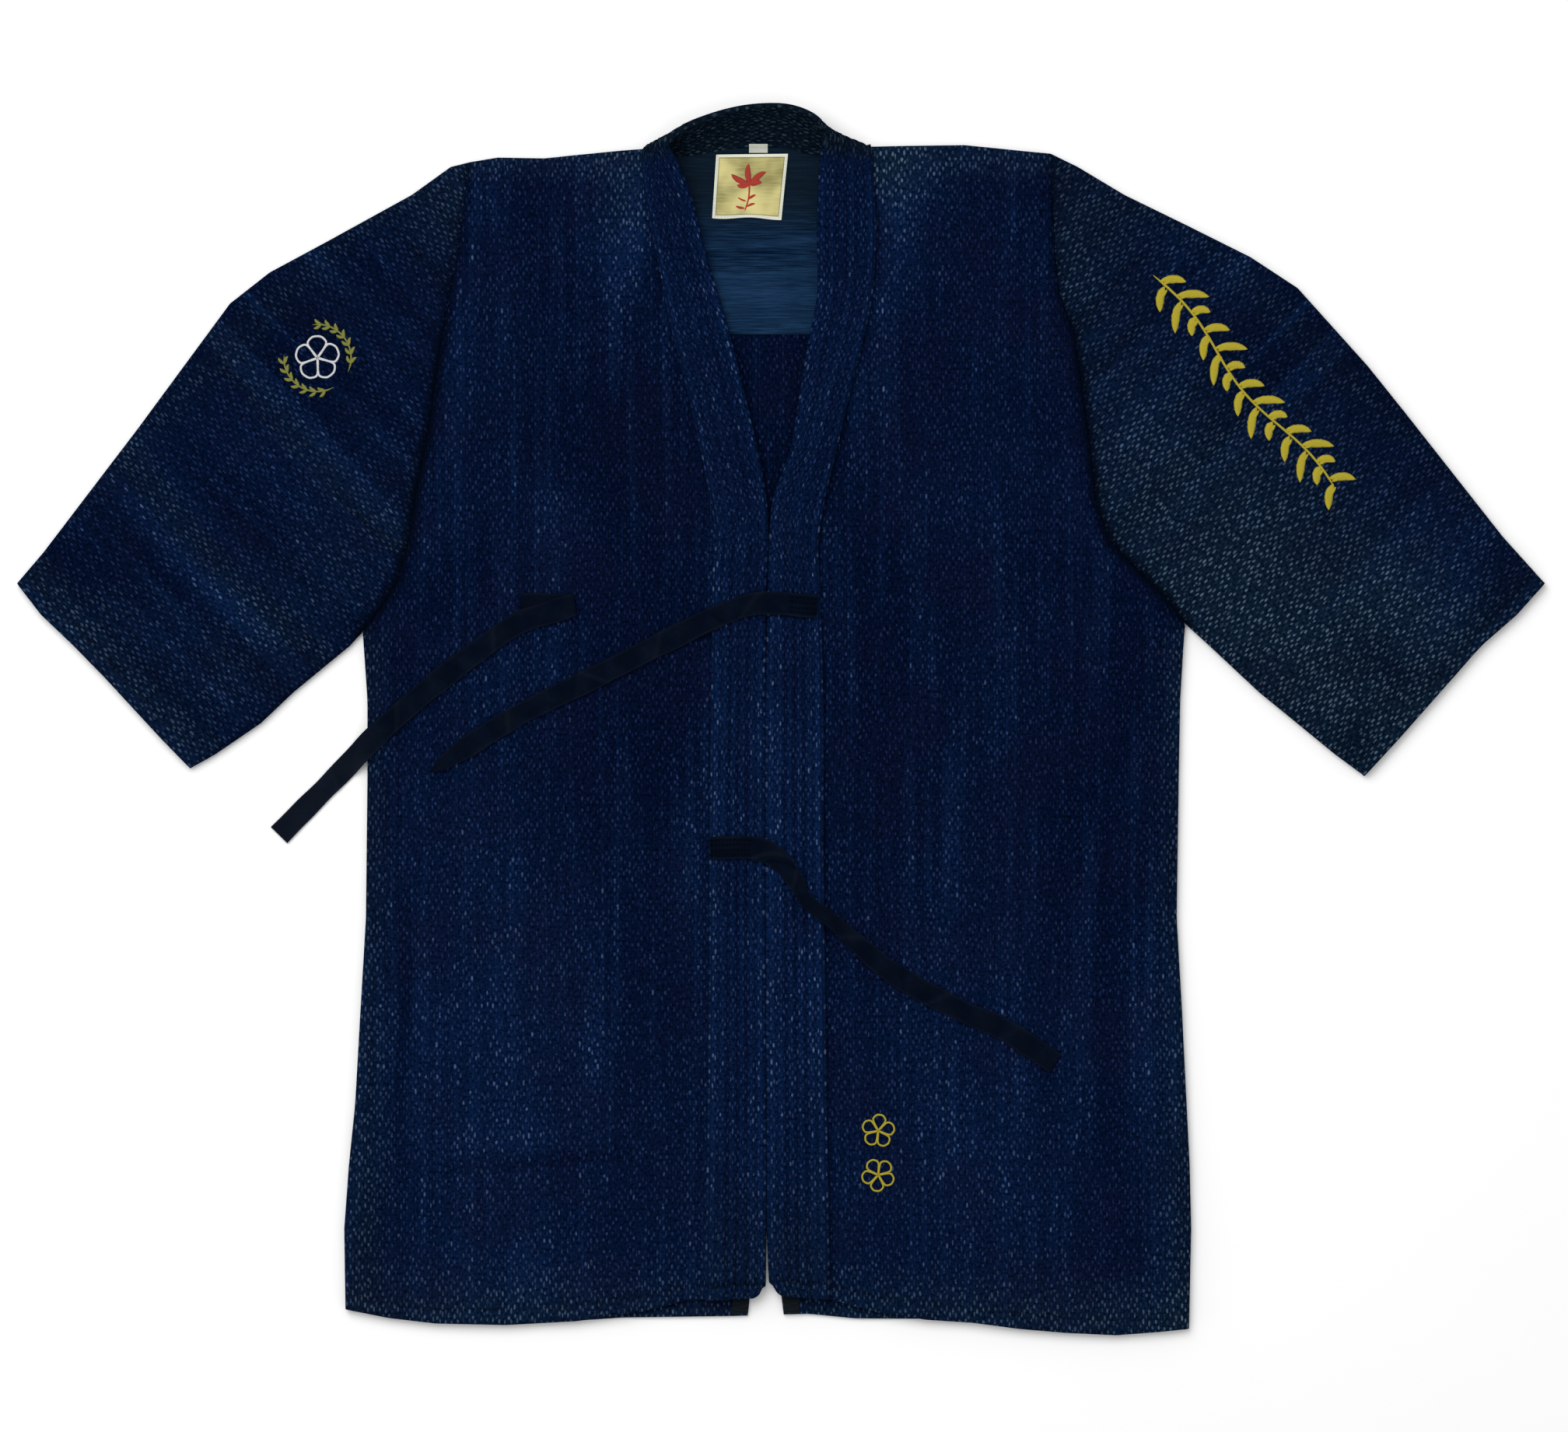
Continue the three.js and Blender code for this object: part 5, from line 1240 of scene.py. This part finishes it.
tieLines = []
chestTieEnd = [(-186.0, 83.2), (-149.0, 82.4)]
chestTieLine = [(-149.0, 82.4), (-168.0, 76.4), (-186.1, 70.3), (-223.9, 44.3), (-261.7, 14.0),
                (-291.0, -12.6), (-317.4, -39.8), (-344.8, -67.4), (-359.0, -81.9)]
upperTieLine = [(25.8, 81.4), (-16.7, 83.6), (-37.8, 77.5), (-56.7, 69.2), (-83.9, 55.8),
                (-118.9, 38.1), (-145.6, 24.7), (-186.1, 4.7), (-223.9, -18.6), (-248.9, -35.8)]
lowerTieLine = [(-50.6, -90.8), (-15.6, -91.4), (-2.2, -98.6), (8.9, -112.0), (18.0, -128.0),
                (31.1, -138.6), (50.6, -155.3), (72.8, -175.3), (101.7, -193.1),
                (133.9, -209.2), (158.9, -220.3), (196.0, -244.7)]
plainTie = {"half": 8.0, "thick": 1.7, "lanes": 17, "width": ((0, 1), (1, 1)),
            "arch": ((0, 1), (0, 0)), "wave": 0.3, "dustAndHighlight": 0.0, "sewn": 0.0,
            "rows": (-0.625, -0.25, 0.25, 0.625), "folds": ()}
tape("tie_strap_chest", chestTieLine,
     dict(plainTie, dustAndHighlight=0.4, folds=((62, 5, 0.7), (96, -4, -0.4), (150, 7, 0.8), (214, 3, 0.6))),
     ["tie_chest", "tie_chest_end"], tucked=chestTieEnd)
tape("tie_strap_upper", upperTieLine,
     dict(plainTie, width=((0, 0.5, 0.9, 0.96, 1), (1, 1, 0.95, 0.7, 0.2)), sewn=21.0,
          folds=((48, 9, 0.9), (74, -6, -0.5), (120, 6, 0.8), (171, -8, 0.7), (188, 5, -0.4),
                 (240, 4, 0.8))),
     ["tie_collar_upper"])
tape("tie_strap_lower", lowerTieLine,
     dict(plainTie, width=((0, 0.15, 0.19, 0.27, 0.36, 0.5, 1), (1, 1, 0.9, 0.58, 0.6, 0.95, 1)),
          sewn=30.0, arch=((0, 0.13, 0.24, 0.34, 0.44, 1), (0, 0.4, 2.9, 2.4, 0.3, 0)),
          folds=((44, 12, 1.3), (54, 12, -0.7), (70, -6, 0.8), (128, 7, 0.7), (176, -5, -0.4),
                 (205, 6, 0.8), (262, 4, 0.6))),
     ["tie_collar_lower"])
print("ties laid")


# Stitches along lines: each a thread, thickest in the middle, radius * sqrt(sin(pi t)), bowed up
# between its two ends and closed there.
def stitches(name, lines, material, look):
    starts, steps = [], []
    for line in lines:
        length = arcLength(line)
        at = np.arange(0.6, length[-1] - look["long"], look["pitch"])
        first, last = (np.stack([np.interp(at + d, length, line[:, k]) for k in range(3)], -1)
                       for d in (0, look["long"]))
        starts.append(first)
        steps.append(last - first)
    first, step = np.concatenate(starts), np.concatenate(steps)
    count = len(first)
    t = np.array([0, 0.18, 0.5, 0.82, 1.0])
    around = np.arange(6) / 6 * 2 * np.pi
    size = look["radius"] * np.sqrt(np.sin(np.pi * t))
    level = stacked(-step[:, 1], step[:, 0], 0 * step[:, 0])
    level = level / np.linalg.norm(level, axis=1, keepdims=True)
    bow = look["bow"] * np.sin(np.pi * t)
    points = (first[:, None, None] + step[:, None, None] * t[:, None, None]
              + level[:, None, None] * (size[:, None] * np.cos(around))[None, :, :, None])
    points[..., 2] += (bow[:, None] + size[:, None] * np.sin(around))[None]
    run = t * look["long"]
    uv = np.stack(np.broadcast_arrays(run[:, None] + 0.0, around[None, :] * look["radius"]), -1)
    grids = [{"points": points[k], "uv": uv + [k * 0.37, 0], "joined": True} for k in range(count)]
    makePiece(name, grids, material)


stitches("hem_stitches", seamLines, navyThread,
         {"pitch": 3.8, "long": 2.7, "radius": 0.34, "bow": 0.22})
stitches("tie_stitches", tieLines, navyThread,
         {"pitch": 2.6, "long": 1.8, "radius": 0.24, "bow": 0.12})
stitches("label_stitches", [labelBorder], whiteThread,
         {"pitch": 2.3, "long": 1.8, "radius": 0.22, "bow": 0.12})
print("stitches made")


# Satin stitch along a line: half width follows rows along the length, the section is crowned as
# sqrt(1 - lane^2) and the threads cross it at a slant as ridges of |sine|; the rim dips into the
# cloth and an underside closes it.
def satin(line, widths, cloth, look):
    run, centre, ahead = followed(line, 401, lambda total: max(int(total / look["step"]), 6))
    half = np.maximum(np.interp(run / run[-1], *widths), 0.02)[:, None]
    lanes = np.linspace(-1, 1, look["lanes"])
    slant = (look["slant"] * half * lanes
             * np.minimum(1, 4 * np.minimum(run, run[-1] - run) / run[-1])[:, None])
    x = centre[:, :1] - ahead[:, 1:] * half * lanes + ahead[:, :1] * slant
    y = centre[:, 1:] + ahead[:, :1] * half * lanes + ahead[:, 1:] * slant
    crown = np.sqrt(1 - lanes ** 2) * look["lift"] * np.minimum(1, half / 0.6)
    ridge = look["ridge"] * np.abs(np.sin(np.pi * run / look["thread"]))[:, None] * (1 - lanes ** 2)
    z = cloth(x, y) - 0.25 + crown + ridge
    points = stacked(x, y, z)
    uv = np.stack(np.broadcast_arrays(run[:, None], half * lanes), -1)
    return [{"points": points, "uv": uv, "flip": True},
            {"points": points[:, [0, -1]], "uv": uv[:, [0, -1]]}]


# Leaf or petal that points along a direction: a bowed line with a rounded width.
def leaf(x, y, turn, long, wide, bow, cloth, look):
    c, s = np.cos(np.radians(turn)), np.sin(np.radians(turn))
    line = [(x + c * long * t - s * bow * np.sin(np.pi * t),
             y + s * long * t + c * bow * np.sin(np.pi * t))
            for t in (0, 0.33, 0.66, 1)]
    shape = np.array([0.05, 0.55, 0.9, 1, 0.7, 0.35, 0.03])
    return satin(line, ((0, 0.12, 0.3, 0.55, 0.8, 0.93, 1), shape * wide), cloth, look)


# Outline of a petal as a line of satin: a loop out from the middle and back.
def loop(x, y, turn, long, wide, thick, cloth, look):
    c, s = np.cos(np.radians(turn)), np.sin(np.radians(turn))
    shape = ((0.08, 0), (0.35, -0.6), (0.7, -1), (0.95, -0.55), (1.0, 0), (0.95, 0.55), (0.7, 1),
             (0.35, 0.6), (0.08, 0.02))
    line = [(x + c * long * a - s * wide * b, y + s * long * a + c * wide * b) for a, b in shape]
    return satin(line, ((0, 0.08, 0.92, 1), (0.2, thick, thick, 0.2)), cloth, look)


thread = {"step": 0.3, "lanes": 7, "slant": 0.45, "lift": 0.75, "ridge": 0.14, "thread": 0.9}
onCloth = lambda x, y: laidHeight + relief(x, y) + 0.3
onLabel = lambda x, y: labelLook["base"] + labelLook["thick"] + 0.3 * np.ones_like(x)

# Wearer's right sleeve: a flower in white outline between two olive sprays.
blossom = {"x": -331.0, "y": 259.0, "petal": 15.5, "wide": 6.6, "line": 0.85, "spray": 24.0}
white, olive = [], []
for k in range(5):
    white += loop(blossom["x"], blossom["y"], 20 + 72 * k, blossom["petal"], blossom["wide"],
                  blossom["line"], onCloth, thread)
    white += leaf(blossom["x"], blossom["y"], 56 + 72 * k, 6.5, 0.7, 0.0, onCloth, thread)
for side in (1, -1):
    arc = np.radians(np.linspace(18, 142, 9)) * side - np.radians(43)
    line = [(blossom["x"] + blossom["spray"] * np.cos(a),
             blossom["y"] + blossom["spray"] * np.sin(a)) for a in arc]
    olive += satin(line, ((0, 0.1, 0.9, 1), (0.1, 0.7, 0.7, 0.1)), onCloth, thread)
    for k in range(1, 8):
        for lean in (34, -34):
            turn = np.degrees(arc[k]) + side * (90 - lean)
            olive += leaf(*line[k], turn, 6.2, 1.35, 0.5, onCloth, thread)
makePiece("blossom_white", white, whiteThread)
makePiece("blossom_sprays", olive, oliveThread)

# Wearer's left sleeve: a leafy vine in yellow from the shoulder to the cuff side.
vine = {"start": (266.0, 318.0), "end": (395.0, 164.0), "pairs": 13, "leaf": 22.0, "wide": 3.3,
        "sway": 4.0}
start, end = np.array(vine["start"]), np.array(vine["end"])
ahead = (end - start) / np.linalg.norm(end - start)
square = np.array([-ahead[1], ahead[0]])
stem = [tuple(start + (end - start) * t + square * vine["sway"] * np.sin(9 * t))
        for t in np.linspace(0, 1, 15)]
gold = satin(stem, ((0, 0.05, 0.95, 1), (0.3, 1.0, 0.9, 0.1)), onCloth, thread)
heading = np.degrees(np.arctan2(ahead[1], ahead[0]))
for k in range(vine["pairs"]):
    t = (k + 0.4) / vine["pairs"]
    spot = start + (end - start) * t + square * vine["sway"] * np.sin(9 * t)
    size = vine["leaf"] * (0.85 + 0.25 * np.sin(2.1 * k))
    for lean, shift in ((48, 0.0), (-50, 5.0)):
        gold += leaf(*(spot + ahead * shift), heading + lean, size, vine["wide"],
                     1.6 * np.sign(lean), onCloth, thread)
        gold += leaf(*(spot + ahead * (shift + 3)), heading + lean * 1.5, size * 0.42, 1.3, 0.0,
                     onCloth, thread)
makePiece("vine_gold", gold, goldThread)

# Wearer's left front, low: two small yellow flowers; on the label: a red sprig.
small = []
for x0, y0, first in ((69.5, -293.0, 12), (69.5, -324.5, 48)):
    for k in range(5):
        small += loop(x0, y0, first + 72 * k, 11.5, 4.4, 0.75, onCloth, thread)
        small += leaf(x0, y0, first + 36 + 72 * k, 4.6, 0.7, 0.0, onCloth, thread)
makePiece("small_flowers_gold", small, goldThread)
fineThread = dict(thread, lift=0.3, ridge=0.08, step=0.4)
sprig = satin([(-26, 363.5), (-23, 374), (-22.5, 384)], ((0, 0.2, 1), (0.3, 0.9, 0.7)), onLabel,
              fineThread)
for turn, size in ((92, 15), (38, 15), (150, 15), (8, 9), (182, 9)):
    sprig += leaf(-22.5, 383.0, turn, size, 2.2, 0.8, onLabel, fineThread)
for x0, y0, turn in ((-24.2, 372, 30), (-24.4, 371, 155), (-25.2, 367, 20), (-25.4, 366, 165)):
    sprig += leaf(x0, y0, turn, 7.5, 1.4, 0.4, onLabel, fineThread)
makePiece("sprig_red", sprig, redThread)
print("embroidery made")

# Camera straight above, a long lens; the view is 1120 mm wide.
view = {"width": 1.12, "x": 2.2, "y": 3.3, "height": 5.0}
cameraData = bpy.data.cameras.new("camera")
cameraData.sensor_width = 36
cameraData.lens = 36 * (view["height"] - 0.008) / view["width"]
cameraData.clip_end = 50
camera = bpy.data.objects.new("camera", cameraData)
camera.location = ((view["x"] + planShift[0]) / 1000, (view["y"] + planShift[1]) / 1000,
                   view["height"])
bpy.context.collection.objects.link(camera)
bpy.context.scene.camera = camera

bench = DyeBench("paleFloor")
where = bench.node("TexCoord").outputs["Object"]
speck = bench.noise(where, 3.0, 2.0)
bench.finish(bench.blend((0.9, 0.9, 0.9, 1), (0.93, 0.93, 0.93, 1), speck), speck * 0.1 + 0.85,
             speck, 0.0001)
floorMesh.materials.append(bench.fixed(Specular_IOR_Level=0.1))

# Soft light: a wide panel above, towards the collar and the wearer's right, and an even sky.
lights = {"sky": 0.72, "panel": 60.0, "size": 2.2}
world = bpy.data.worlds.new("sky")
world.use_nodes = True
world.node_tree.nodes["Background"].inputs[0].default_value = (1, 1, 1, 1)
world.node_tree.nodes["Background"].inputs[1].default_value = lights["sky"]
bpy.context.scene.world = world
panelData = bpy.data.lights.new("panel", "AREA")
panelData.shape, panelData.size, panelData.energy = "SQUARE", lights["size"], lights["panel"]
panel = bpy.data.objects.new("panel", panelData)
panel.location = (-0.9, 1.3, 2.6)
panel.rotation_euler = (-0.46, -0.33, 0)
bpy.context.collection.objects.link(panel)
bpy.context.scene.view_settings.view_transform = "Standard"
